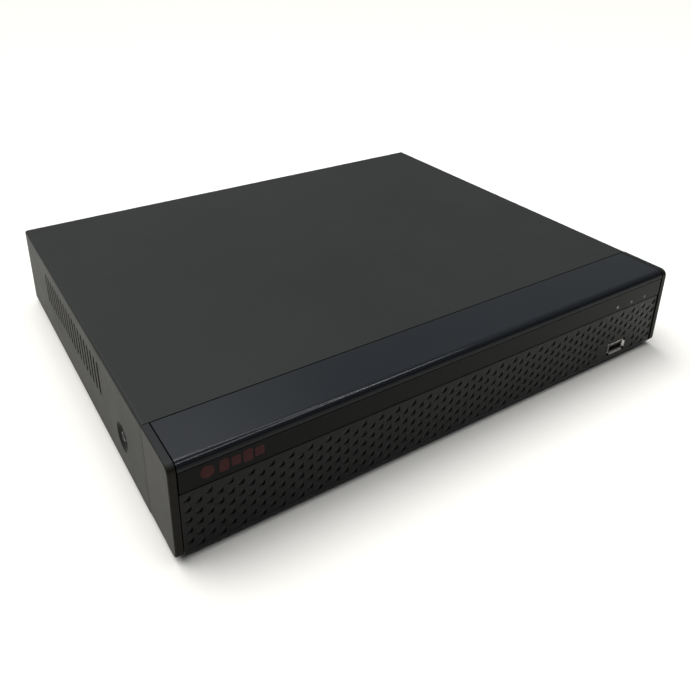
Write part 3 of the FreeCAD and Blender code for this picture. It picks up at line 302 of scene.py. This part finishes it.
def metal(name, colour, other, roughness, spread, drawn_along):
    """Plated or machined metal with fine drawn lines along one axis, Y or Z."""
    plate = Finish(name, colour, roughness, metallic=1.0)
    stretch = {"Y": (1, 0.06, 1), "Z": (1, 1, 0.06)}[drawn_along]
    lines = plate.noise(2600.0, 3.0, 0.7, plate.stretched(*stretch))
    tarnish = plate.noise(160.0, 4.0, 0.6)
    plate.vary_colour(plate.levels(tarnish, 0.35, 0.7), colour, other)
    plate.vary_roughness(plate.math("ADD", plate.math("MULTIPLY", lines, 0.5),
                                    plate.math("MULTIPLY", tarnish, 0.5)),
                         0.3, 0.7, roughness - spread, roughness + spread)
    plate.raise_by(lines, 0.000004, 0.4)
    return plate.material


def cast_metal(name):
    """The disk's cast aluminium base: matt, cloudy and slightly pitted."""
    colour, roughness = (0.55, 0.56, 0.57), 0.42
    casting = Finish(name, colour, roughness, metallic=1.0)
    casting.vary_colour(casting.noise(120.0, 4.0), colour, (0.42, 0.43, 0.44))
    casting.vary_roughness(casting.noise(300.0, 3.0), 0.3, 0.7, roughness - 0.06,
                           roughness + 0.08)
    casting.raise_by(casting.cells(1400.0), 0.00004, 0.35)
    return casting.material


def circuit_board(name):
    """Green solder mask with copper tracks under it and tinned pads."""
    board = Finish(name, (0.012, 0.085, 0.035), 0.32, specular=0.5)
    tracks = board.add("ShaderNodeTexBrick", {
        "Vector": board.place, "Scale": 90.0, "Mortar Size": 0.06, "Mortar Smooth": 0.1,
        "Brick Width": 0.9, "Row Height": 0.13, "Color1": (0, 0, 0, 1), "Color2": (0, 0, 0, 1),
        "Mortar": (1, 1, 1, 1)}, offset=0.35).outputs["Color"]
    routed = board.levels(board.noise(24.0, 1.0), 0.42, 0.5)
    track = board.math("MULTIPLY", tracks, routed)
    pads = board.levels(board.cells(330.0), 0.16, 0.2, 1.0, 0.0)
    grouped = board.math("MULTIPLY", pads, board.levels(board.noise(40.0, 1.0), 0.55, 0.6))
    under = board.mixed(track, (0.010, 0.075, 0.030), (0.030, 0.150, 0.050))
    board.vary_colour(grouped, under, (0.55, 0.54, 0.50))
    board.link(grouped, "Metallic")
    board.vary_roughness(board.noise(200.0, 3.0), 0.3, 0.7, 0.26, 0.38)
    board.raise_by(track, 0.00004, 0.5)
    return board.material


def chip_package(name):
    """Black moulded epoxy, dull and slightly pitted."""
    chip = Finish(name, (0.018, 0.018, 0.02), 0.55, specular=0.4)
    chip.vary_colour(chip.noise(400.0, 3.0), (0.015, 0.015, 0.017), (0.028, 0.028, 0.03))
    chip.vary_roughness(chip.noise(900.0, 2.0), 0.3, 0.7, 0.48, 0.62)
    chip.raise_by(chip.cells(3000.0), 0.00002, 0.5)
    return chip.material


def capacitor_sleeve(name):
    """A black printed sleeve with a bare, bright top, as on a small electrolytic can."""
    can = Finish(name, (0.02, 0.02, 0.024), 0.3, specular=0.5)
    top = can.levels(can.up(), 0.85, 0.95)
    can.vary_colour(top, (0.02, 0.02, 0.024), (0.72, 0.73, 0.75))
    can.link(top, "Metallic")
    can.vary_roughness(can.noise(500.0, 3.0), 0.3, 0.7, 0.22, 0.36)
    can.raise_by(can.noise(1200.0, 2.0), 0.00002, 0.3)
    return can.material


def fascia_gloss(name):
    """Black moulding, polished where it faces up and satin down its front; painted lighter where it
    faces up and near black down its front and nose, as painted light and shade.
    """
    strip = Finish(name, (0.014, 0.016, 0.020), 0.14, specular=0.2)
    # painted light and shade: near black on the front and the nose's underside, lighter as the
    # surface turns up
    lit_share = strip.levels(strip.up(), 0.35, 0.97)
    lit_top = strip.mixed(strip.levels(strip.noise(18.0, 2.0), 0.3, 0.7),
                        (0.0112, 0.0132, 0.0162), (0.0126, 0.0146, 0.0176))
    strip.vary_colour(lit_share, (0.0035, 0.0040, 0.0050), lit_top)
    haze = strip.levels(wiped_streaks(strip), 0.4, 0.75, 0.14, 0.18)
    satin = strip.levels(strip.up(), 0.6, 0.3, 0.0, 0.34)
    strip.link(strip.math("ADD", haze, satin), "Roughness")
    strip.raise_by(strip.noise(70.0, 1.0), 0.00005, 0.05)
    return strip.material


def light_pipe(name):
    """Clear acrylic rods; the one over the power lamp is the best lit."""
    x_low, x_high = (corner.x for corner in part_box("led_light_pipes"))
    pipe = Finish(name, (0.12, 0.125, 0.13), 0.3, specular=0.2)
    along = pipe.levels(pipe.axis("X"), x_low, x_high)
    pipe.vary_colour(along, (0.13, 0.135, 0.14), (0.045, 0.045, 0.048))
    pipe.vary_roughness(pipe.noise(2000.0, 2.0), 0.3, 0.7, 0.25, 0.4)
    pipe.raise_by(pipe.noise(1500.0, 2.0), 0.00002, 0.3)
    return pipe.material


def rubber(name):
    """Black rubber: dull, with a dusty bloom."""
    foot = Finish(name, (0.018, 0.018, 0.018), 0.75, specular=0.3)
    foot.vary_colour(foot.noise(300.0, 4.0), (0.014, 0.014, 0.014), (0.035, 0.034, 0.033))
    foot.vary_roughness(foot.noise(600.0, 2.0), 0.3, 0.7, 0.66, 0.85)
    foot.raise_by(foot.noise(2500.0, 2.0), 0.00004, 0.5)
    return foot.material


def disk_mirror(name):
    """Sputtered platters: a mirror with the faintest turning lines."""
    low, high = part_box("hdd_platters")
    middle = (low + high) / 2
    disk = Finish(name, (0.72, 0.73, 0.75), 0.04, metallic=1.0)
    centred = disk.add("ShaderNodeVectorMath", {0: disk.place, 1: middle},
                       operation="SUBTRACT").outputs[0]
    rings = disk.add("ShaderNodeTexWave", {"Vector": centred, "Scale": 900.0,
                                           "Distortion": 0.0}, wave_type="RINGS",
                     rings_direction="Z").outputs["Fac"]
    disk.vary_colour(disk.noise(60.0, 2.0), (0.70, 0.71, 0.73), (0.78, 0.79, 0.80))
    disk.vary_roughness(rings, 0.0, 1.0, 0.03, 0.06)
    disk.raise_by(rings, 0.000002, 0.1)
    return disk.material


def jack_plastic(name):
    """The audio sockets' insulators: white for the upper one, red for the lower."""
    low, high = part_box("rca_insulators")
    middle = (low.z + high.z) / 2
    cup = Finish(name, (0.6, 0.6, 0.58), 0.4)
    upper = cup.levels(cup.axis("Z"), middle - 0.001, middle + 0.001)
    dirt = cup.noise(500.0, 3.0)
    cup.vary_colour(upper, (0.42, 0.02, 0.015), (0.72, 0.71, 0.68))
    cup.vary_roughness(dirt, 0.3, 0.7, 0.34, 0.46)
    cup.raise_by(dirt, 0.00002, 0.3)
    return cup.material


# the cover's upright faces: painted shade, darker and warmer than its top
COVER_SHADED_WALLS = ((0.0105, 0.0107, 0.0081), (0.0115, 0.0117, 0.0089))
# how each material slot of the record is finished: mostly its two colours, then its roughness
FINISHES = {
    "cover_paint": lambda n: powder_coat(n, (0.0195, 0.0208, 0.0210), (0.0215, 0.0230, 0.0228),
                                         0.45, specular=0.08, shaded_walls=COVER_SHADED_WALLS),
    "pan_paint": lambda n: powder_coat(n, (0.012, 0.012, 0.0125), (0.015, 0.015, 0.0155),
                                       0.48, specular=0.3),
    "bezel_plastic": bezel_grain,
    "fascia_plastic": fascia_gloss,
    "window_plastic": smoked_gloss,
    "panel_plastic": lambda n: moulded(n, (0.0024, 0.0024, 0.0026), (0.0032, 0.0032, 0.0034), 0.30,
                                       specular=0.12),
    "light_pipe": light_pipe,
    "lamp": lambda n: moulded(n, (0.70, 0.68, 0.55), (0.78, 0.77, 0.66), 0.35),
    "plated_steel": lambda n: metal(n, (0.62, 0.61, 0.58), (0.52, 0.51, 0.49), 0.28, 0.08, "Y"),
    "zinc_screw": lambda n: metal(n, (0.60, 0.60, 0.62), (0.50, 0.50, 0.50), 0.34, 0.10, "Z"),
    "black_screw": lambda n: metal(n, (0.035, 0.035, 0.038), (0.06, 0.06, 0.06), 0.42, 0.10, "Z"),
    "nickel": lambda n: metal(n, (0.66, 0.63, 0.57), (0.56, 0.53, 0.48), 0.22, 0.07, "Z"),
    "gold": lambda n: metal(n, (0.83, 0.58, 0.22), (0.74, 0.50, 0.18), 0.26, 0.08, "Y"),
    "black_nylon": lambda n: moulded(n, (0.014, 0.014, 0.015), (0.02, 0.02, 0.021), 0.45),
    "white_nylon": lambda n: moulded(n, (0.62, 0.61, 0.57), (0.70, 0.69, 0.65), 0.48),
    "blue_nylon": lambda n: moulded(n, (0.015, 0.05, 0.32), (0.02, 0.06, 0.38), 0.42),
    "colour_nylon": jack_plastic,
    "board_green": circuit_board,
    "chip_black": chip_package,
    "can_aluminium": capacitor_sleeve,
    "sink_aluminium": lambda n: metal(n, (0.60, 0.61, 0.62), (0.50, 0.51, 0.52), 0.38, 0.08,
                                      "Y"),
    "cast_aluminium": cast_metal,
    "disk_mirror": disk_mirror,
    "foot_rubber": rubber,
    "cable_red": lambda n: moulded(n, (0.35, 0.02, 0.015), (0.42, 0.03, 0.02), 0.45, depth=0.00002),
    "cable_black": lambda n: moulded(n, (0.02, 0.02, 0.02), (0.03, 0.03, 0.03), 0.5, depth=0.00002),
}


def dress_cad_nodes():
    """Gives each CAD node the finish of its material slot."""
    made = {slot: build("fine_" + slot) for slot, build in FINISHES.items()}
    for node in NODES.values():
        for place in node.material_slots:
            place.material = made[place.material.name]
    return made


# ---------------------------------------------------------------- the dimpled panel
DIMPLE_PITCH_X = 4.62 * MM
DIMPLE_PITCH_Z = 5.45 * MM
DIMPLE_COLUMNS = 63
DIMPLE_ROWS = 5
DIMPLE_RADIUS = 1.76 * MM
DIMPLE_DEPTH = 0.65 * MM
SPLIT = 6                  # lattice squares along each side of a dimple's cell
BLANK_COLUMNS = range(53, 59)
BLANK_ROWS = 2             # rows left out round the USB socket
MOUTH_GAP = 0.35 * MM      # round the USB socket's shell
MOUTH_CORNER = 0.9 * MM
SHARP_OVER = math.radians(35)       # an edge that turns further is drawn sharp
EDGE_RADIUS = 0.95 * MM    # rounded lower edge of the panel
SEAM = 0.35 * MM           # shadow line under the window, on top of the modelled gap
DIMPLE_LEAN = math.radians(-48)     # the way to a dimple's deepest side, from +X
DIMPLE_DIVE = 1.8          # how late it dives: 1 is an even slope
CORNER_STEPS = 5           # straight stretches in a quarter turn
# rings from a dimple's rim inwards: share of its radius, and how far the ring is sunk
DIMPLE_PROFILE = ((1.0, 0.0), (0.95, 0.6), (0.88, 1.0), (0.7, 1.0), (0.5, 1.0), (0.25, 1.0))


def round_rect(u0, u1, v0, v1, radius):
    """The outline of a rectangle with rounded corners, anticlockwise."""
    points = []
    for u, v, first in ((u1 - radius, v0 + radius, -90), (u1 - radius, v1 - radius, 0),
                        (u0 + radius, v1 - radius, 90), (u0 + radius, v0 + radius, 180)):
        for k in range(CORNER_STEPS + 1):
            turn = math.radians(first + 90.0 * k / CORNER_STEPS)
            points.append((u + radius * math.cos(turn), v + radius * math.sin(turn)))
    return points


def band(bm, a, b):
    """Faces between two closed loops of as many vertices."""
    for k in range(len(a)):
        n = (k + 1) % len(a)
        bm.faces.new((a[k], a[n], b[n], b[k]))


def fill_round(bm, outer, inner):
    """Flat faces between a closed outline and the hole in it."""
    edges = [bm.edges.get((a, b)) or bm.edges.new((a, b))
             for loop in (outer, inner) for a, b in zip(loop, loop[1:] + loop[:1])]
    bmesh.ops.triangle_fill(bm, use_beauty=True, edges=edges)


class PanelMesh:
    """The lower front panel: one closed mesh on a lattice, with a slanted dimple in each cell.

    Odd columns sit half a cell lower than even ones. A dimple is flush with the panel at its
    upper left and dives to its steep wall at the lower right."""

    def __init__(self):
        self.low, self.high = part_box("dimpled_panel")
        self.high.z -= SEAM
        self.face = self.low.y
        self.step_x = DIMPLE_PITCH_X / SPLIT
        self.step_z = DIMPLE_PITCH_Z / SPLIT
        self.columns = DIMPLE_COLUMNS * SPLIT
        self.rows = DIMPLE_ROWS * SPLIT + SPLIT // 2
        self.left = (self.low.x + self.high.x) / 2 - self.columns * self.step_x / 2
        self.bottom = self.low.z + EDGE_RADIUS
        self.bm = bmesh.new()
        self.spots = {}                # lattice vertices by column and row line
        self.used = set()              # lattice squares that are filled already
        self.mouth_front = []

    def spot(self, i, j):
        """The lattice vertex in column line i and row line j. -1 and one past are margins."""
        if (i, j) not in self.spots:
            x = self.left + i * self.step_x
            if i < 0:
                x = self.low.x
            elif i > self.columns:
                x = self.high.x
            z = self.bottom + j * self.step_z
            if j > self.rows:
                z = self.high.z
            self.spots[i, j] = self.bm.verts.new((x, self.face, z))
        return self.spots[i, j]

    def cell_edge(self, i, j):
        """The lattice vertices round a dimple's cell whose lower left is at (i, j)."""
        ring = [(i + k, j) for k in range(SPLIT)]
        ring += [(i + SPLIT, j + k) for k in range(SPLIT)]
        ring += [(i + SPLIT - k, j + SPLIT) for k in range(SPLIT)]
        ring += [(i, j + SPLIT - k) for k in range(SPLIT)]
        return [self.spot(*at) for at in ring]

    def dimple(self, i, j):
        outer = self.cell_edge(i, j)
        x = self.left + (i + SPLIT / 2) * self.step_x
        z = self.bottom + (j + SPLIT / 2) * self.step_z
        lean = Vector((math.cos(DIMPLE_LEAN), 0.0, math.sin(DIMPLE_LEAN)))
        rings = [outer]
        for share, sunk in DIMPLE_PROFILE:
            ring = []
            for vertex in outer:
                way = Vector((vertex.co.x - x, 0.0, vertex.co.z - z)).normalized()
                reach = way * DIMPLE_RADIUS * share
                slide = 0.5 + 0.5 * reach.dot(lean) / DIMPLE_RADIUS
                into = DIMPLE_DEPTH * sunk * slide ** DIMPLE_DIVE
                ring.append(self.bm.verts.new((x + reach.x, self.face + into, z + reach.z)))
            rings.append(ring)
        for a, b in zip(rings, rings[1:]):
            band(self.bm, a, b)
        into = DIMPLE_DEPTH * 0.5 ** DIMPLE_DIVE
        middle = self.bm.verts.new((x, self.face + into, z))
        last = rings[-1]
        for k in range(len(last)):
            self.bm.faces.new((last[k], last[(k + 1) % len(last)], middle))
        self.used |= {(i + a, j + b) for a in range(SPLIT) for b in range(SPLIT)}

    def dimples(self):
        for column in range(DIMPLE_COLUMNS):
            start = SPLIT // 2 if column % 2 == 0 else 0
            for row in range(DIMPLE_ROWS):
                if column in BLANK_COLUMNS and row < BLANK_ROWS:
                    continue
                self.dimple(column * SPLIT, start + row * SPLIT)

    def socket_surround(self):
        """The flat area round the USB socket, with the socket's mouth cut through it."""
        i0, i1 = BLANK_COLUMNS.start * SPLIT, BLANK_COLUMNS.stop * SPLIT
        j1 = BLANK_ROWS * SPLIT
        edge = [(i, 0) for i in range(i0, i1)] + [(i1, j) for j in range(j1)]
        edge += [(i, j1) for i in range(i1, i0, -1)] + [(i0, j) for j in range(j1, 0, -1)]
        outer = [self.spot(*at) for at in edge]
        low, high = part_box("front_usb_shell")
        mouth = round_rect(low.x - MOUTH_GAP, high.x + MOUTH_GAP, low.z - MOUTH_GAP,
                           high.z + MOUTH_GAP, MOUTH_CORNER)
        front = [self.bm.verts.new((x, self.face, z)) for x, z in mouth]
        self.mouth_front = front
        fill_round(self.bm, outer, front)
        self.used |= {(i, j) for i in range(i0, i1) for j in range(j1)}

    def flats(self):
        """Fills every lattice square that no dimple covers, and the strips out to the edges."""
        for i in range(-1, self.columns + 1):
            for j in range(self.rows + 1):
                if (i, j) in self.used:
                    continue
                self.bm.faces.new((self.spot(i, j), self.spot(i + 1, j),
                                   self.spot(i + 1, j + 1), self.spot(i, j + 1)))

    def rim(self):
        """The rounded lower edge, the top and bottom walls, the ends and the back."""
        lines = [[self.spot(i, 0) for i in range(-1, self.columns + 2)]]
        for k in range(1, CORNER_STEPS + 1):
            turn = math.radians(90.0 * k / CORNER_STEPS)
            y = self.face + EDGE_RADIUS * (1 - math.cos(turn))
            z = self.low.z + EDGE_RADIUS * (1 - math.sin(turn))
            lines.append([self.bm.verts.new((v.co.x, y, z)) for v in lines[0]])
        for a, b in zip(lines, lines[1:]):
            for k in range(len(a) - 1):
                self.bm.faces.new((b[k], b[k + 1], a[k + 1], a[k]))
        top = [self.spot(i, self.rows + 1) for i in range(-1, self.columns + 2)]
        back = {(x, z): self.bm.verts.new((x, self.high.y, z))
                for x in (self.low.x, self.high.x) for z in (self.low.z, self.high.z)}
        x0, x1, z0, z1 = self.low.x, self.high.x, self.low.z, self.high.z
        self.bm.faces.new([*top, back[x1, z1], back[x0, z1]])
        self.bm.faces.new([*reversed(lines[-1]), back[x0, z0], back[x1, z0]])
        for side, x in ((0, x0), (-1, x1)):
            column = -1 if side == 0 else self.columns + 1
            up = [line[side] for line in reversed(lines)]
            up += [self.spot(column, j) for j in range(1, self.rows + 2)]
            loop = [*up, back[x, z1], back[x, z0]]
            self.bm.faces.new(loop if side else loop[::-1])
        hole = [self.bm.verts.new((v.co.x, self.high.y, v.co.z)) for v in self.mouth_front]
        band(self.bm, self.mouth_front, hole)
        outer = [back[x0, z0], back[x1, z0], back[x1, z1], back[x0, z1]]
        fill_round(self.bm, outer, hole)

    def build(self):
        self.dimples()
        self.socket_surround()
        self.flats()
        self.rim()
        bmesh.ops.recalc_face_normals(self.bm, faces=self.bm.faces)
        return self.bm


def finish_mesh(bm, name, material):
    """Turns a bmesh into an object, smooth except across its sharp edges."""
    mesh = bpy.data.meshes.new(name)
    bm.to_mesh(mesh)
    bm.free()
    mesh.polygons.foreach_set("use_smooth", [True] * len(mesh.polygons))
    mesh.set_sharp_from_angle(angle=SHARP_OVER)
    mesh.materials.append(material)
    piece = bpy.data.objects.new(name, mesh)
    bpy.context.scene.collection.objects.link(piece)
    return piece


def make_panel(finishes):
    panel = finish_mesh(PanelMesh().build(), "front_panel", finishes["panel_plastic"])
    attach(panel, "recorder")
    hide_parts("dimpled_panel")


# ---------------------------------------------------------------- printed marks
INK_PROUD = 0.04 * MM
INK_SUNK = 0.02 * MM
ROUND_STEPS = 32
RECORD_DOT = 3.0 * MM                        # radius
RECORD_INSET = 9.0 * MM                      # from the window's left end to the dot
RECORD_RAISED = 0.5 * MM                     # over the window's middle
RECORD_BARS = (3.0 * MM, 2.3 * MM, 3.0 * MM, 2.3 * MM)    # half heights
RECORD_BAR_WIDE, RECORD_BAR_ROUND = 2.1 * MM, 0.9 * MM    # half width and corner radius
RECORD_FIRST_BAR, RECORD_BAR_STEP = 7.1 * MM, 5.2 * MM    # from the dot, and from bar to bar
SWITCH_MARK_OFF_MIDDLE = 5.0 * MM
SWITCH_BAR = (0.25 * MM, 1.7 * MM, 0.12 * MM)             # half width, half height, corner
SWITCH_RING_OUTER, SWITCH_RING_INNER = (1.6 * MM, 1.7 * MM), (1.15 * MM, 1.25 * MM)
EARTH_BESIDE = 8.2 * MM                      # from the screw's middle to the sign's
EARTH_STROKE, EARTH_CORNER = 0.22 * MM, 0.1 * MM          # half width and corner radius
EARTH_STEM = (0.3 * MM, 2.6 * MM)            # from and to, over the sign's middle
EARTH_BARS = (2.1 * MM, 1.35 * MM, 0.6 * MM)              # half widths, from the top down
EARTH_BAR_STEP = 1.0 * MM


class Print:
    """Thin closed layers of ink on one piece of the recorder, each on a placed surface."""

    def __init__(self, name, body, material):
        self.name, self.body, self.material = name, body, material
        self.bm = bmesh.new()

    def loops(self, outline, place):
        """The outline, given as (right, up) pairs, at the layer's foot and at its face."""
        return [[self.bm.verts.new(place @ Vector((*at, height))) for at in outline]
                for height in (-INK_SUNK, INK_PROUD)]

    def solid(self, outline, place):
        foot, face = self.loops(outline, place)
        band(self.bm, foot, face)
        self.bm.faces.new(face)
        self.bm.faces.new(foot[::-1])

    def ring(self, outer, inner, place):
        outer_foot, outer_face = self.loops(outer, place)
        inner_foot, inner_face = self.loops(inner, place)
        around = (outer_foot, outer_face, inner_face, inner_foot)
        for a, b in zip(around, around[1:] + around[:1]):
            band(self.bm, a, b)

    def finish(self):
        bmesh.ops.recalc_face_normals(self.bm, faces=self.bm.faces)
        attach(finish_mesh(self.bm, self.name, self.material), self.body)


def ellipse(half_w, half_h):
    """The outline of an ellipse, anticlockwise."""
    turns = [math.tau * k / ROUND_STEPS for k in range(ROUND_STEPS)]
    return [(half_w * math.cos(turn), half_h * math.sin(turn)) for turn in turns]


def bar(half_w, half_h, radius):
    """The outline of a bar with rounded corners, round its own middle."""
    return round_rect(-half_w, half_w, -half_h, half_h, radius)


def surface_at(node, x, z, facing):
    """Where the node's surface is on the line through (x, z), as a matrix: right, up, out.

    facing is +1 for the surface that looks along +Y, and -1 for -Y."""
    mesh = NODES[node].data
    tree = BVHTree.FromPolygons([v.co for v in mesh.vertices],
                                [list(face.vertices) for face in mesh.polygons])
    place, out, _, _ = tree.ray_cast(Vector((x, facing, z)), Vector((0, -facing, 0)))
    right = Vector((-facing, 0, 0))
    turn = Matrix((right, out.cross(right), out)).transposed().to_4x4()
    return Matrix.Translation(place) @ turn


def shifted(place, right, up=0.0):
    return place @ Matrix.Translation((right, up, 0))


def ink(name, colour, worn, specular=0.3):
    layer = Finish(name, colour, 0.4, specular=specular)
    scuffed = layer.noise(500.0, 4.0, 0.6)
    layer.vary_colour(layer.levels(scuffed, 0.4, 0.7), colour, worn)
    layer.vary_roughness(scuffed, 0.3, 0.7, 0.32, 0.46)
    layer.raise_by(scuffed, 0.00001, 0.3)
    return layer.material


def make_front_mark():
    """A generic record sign printed on the window's left: a dot and four short bars."""
    low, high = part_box("indicator_window")
    place = surface_at("indicator_window", low.x + RECORD_INSET + RECORD_DOT,
                       (low.z + high.z) / 2 + RECORD_RAISED, -1)
    sign = Print("record_mark", "recorder",
                 ink("dark_red_ink", (0.032, 0.003, 0.003), (0.026, 0.003, 0.003), 0.1))
    sign.solid(ellipse(RECORD_DOT, RECORD_DOT), place)
    for k, reach in enumerate(RECORD_BARS):
        sign.solid(bar(RECORD_BAR_WIDE, reach, RECORD_BAR_ROUND),
                   shifted(place, RECORD_FIRST_BAR + RECORD_BAR_STEP * k))
    sign.finish()


def make_rocker_marks(white):
    """On and off: a bar on the rocker's upper half and a ring on its lower half."""
    low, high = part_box("switch_rocker")
    middle, across = (low.z + high.z) / 2, (low.x + high.x) / 2
    marks = Print("switch_marks", "rocker", white)
    upper = surface_at("switch_rocker", across, middle + SWITCH_MARK_OFF_MIDDLE, 1)
    marks.solid(bar(*SWITCH_BAR), upper)
    lower = surface_at("switch_rocker", across, middle - SWITCH_MARK_OFF_MIDDLE, 1)
    marks.ring(ellipse(*SWITCH_RING_OUTER), ellipse(*SWITCH_RING_INNER), lower)
    marks.finish()


def make_earth_mark(white):
    """The general earth sign beside the ground screw: a stem over three shrinking bars."""
    low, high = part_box("ground_screw")
    place = surface_at("rear_panel", (low.x + high.x) / 2 + EARTH_BESIDE, (low.z + high.z) / 2, 1)
    sign = Print("earth_mark", "recorder", white)
    sign.solid(round_rect(-EARTH_STROKE, EARTH_STROKE, *EARTH_STEM, EARTH_CORNER), place)
    for k, reach in enumerate(EARTH_BARS):
        sign.solid(bar(reach, EARTH_STROKE, EARTH_CORNER), shifted(place, 0.0, -EARTH_BAR_STEP * k))
    sign.finish()


make_camera()
make_world()
make_lights()
make_floor()
finishes = dress_cad_nodes()
make_panel(finishes)
make_front_mark()
white_ink = ink("white_ink", (0.62, 0.62, 0.60), (0.30, 0.30, 0.29))
make_rocker_marks(white_ink)
make_earth_mark(white_ink)
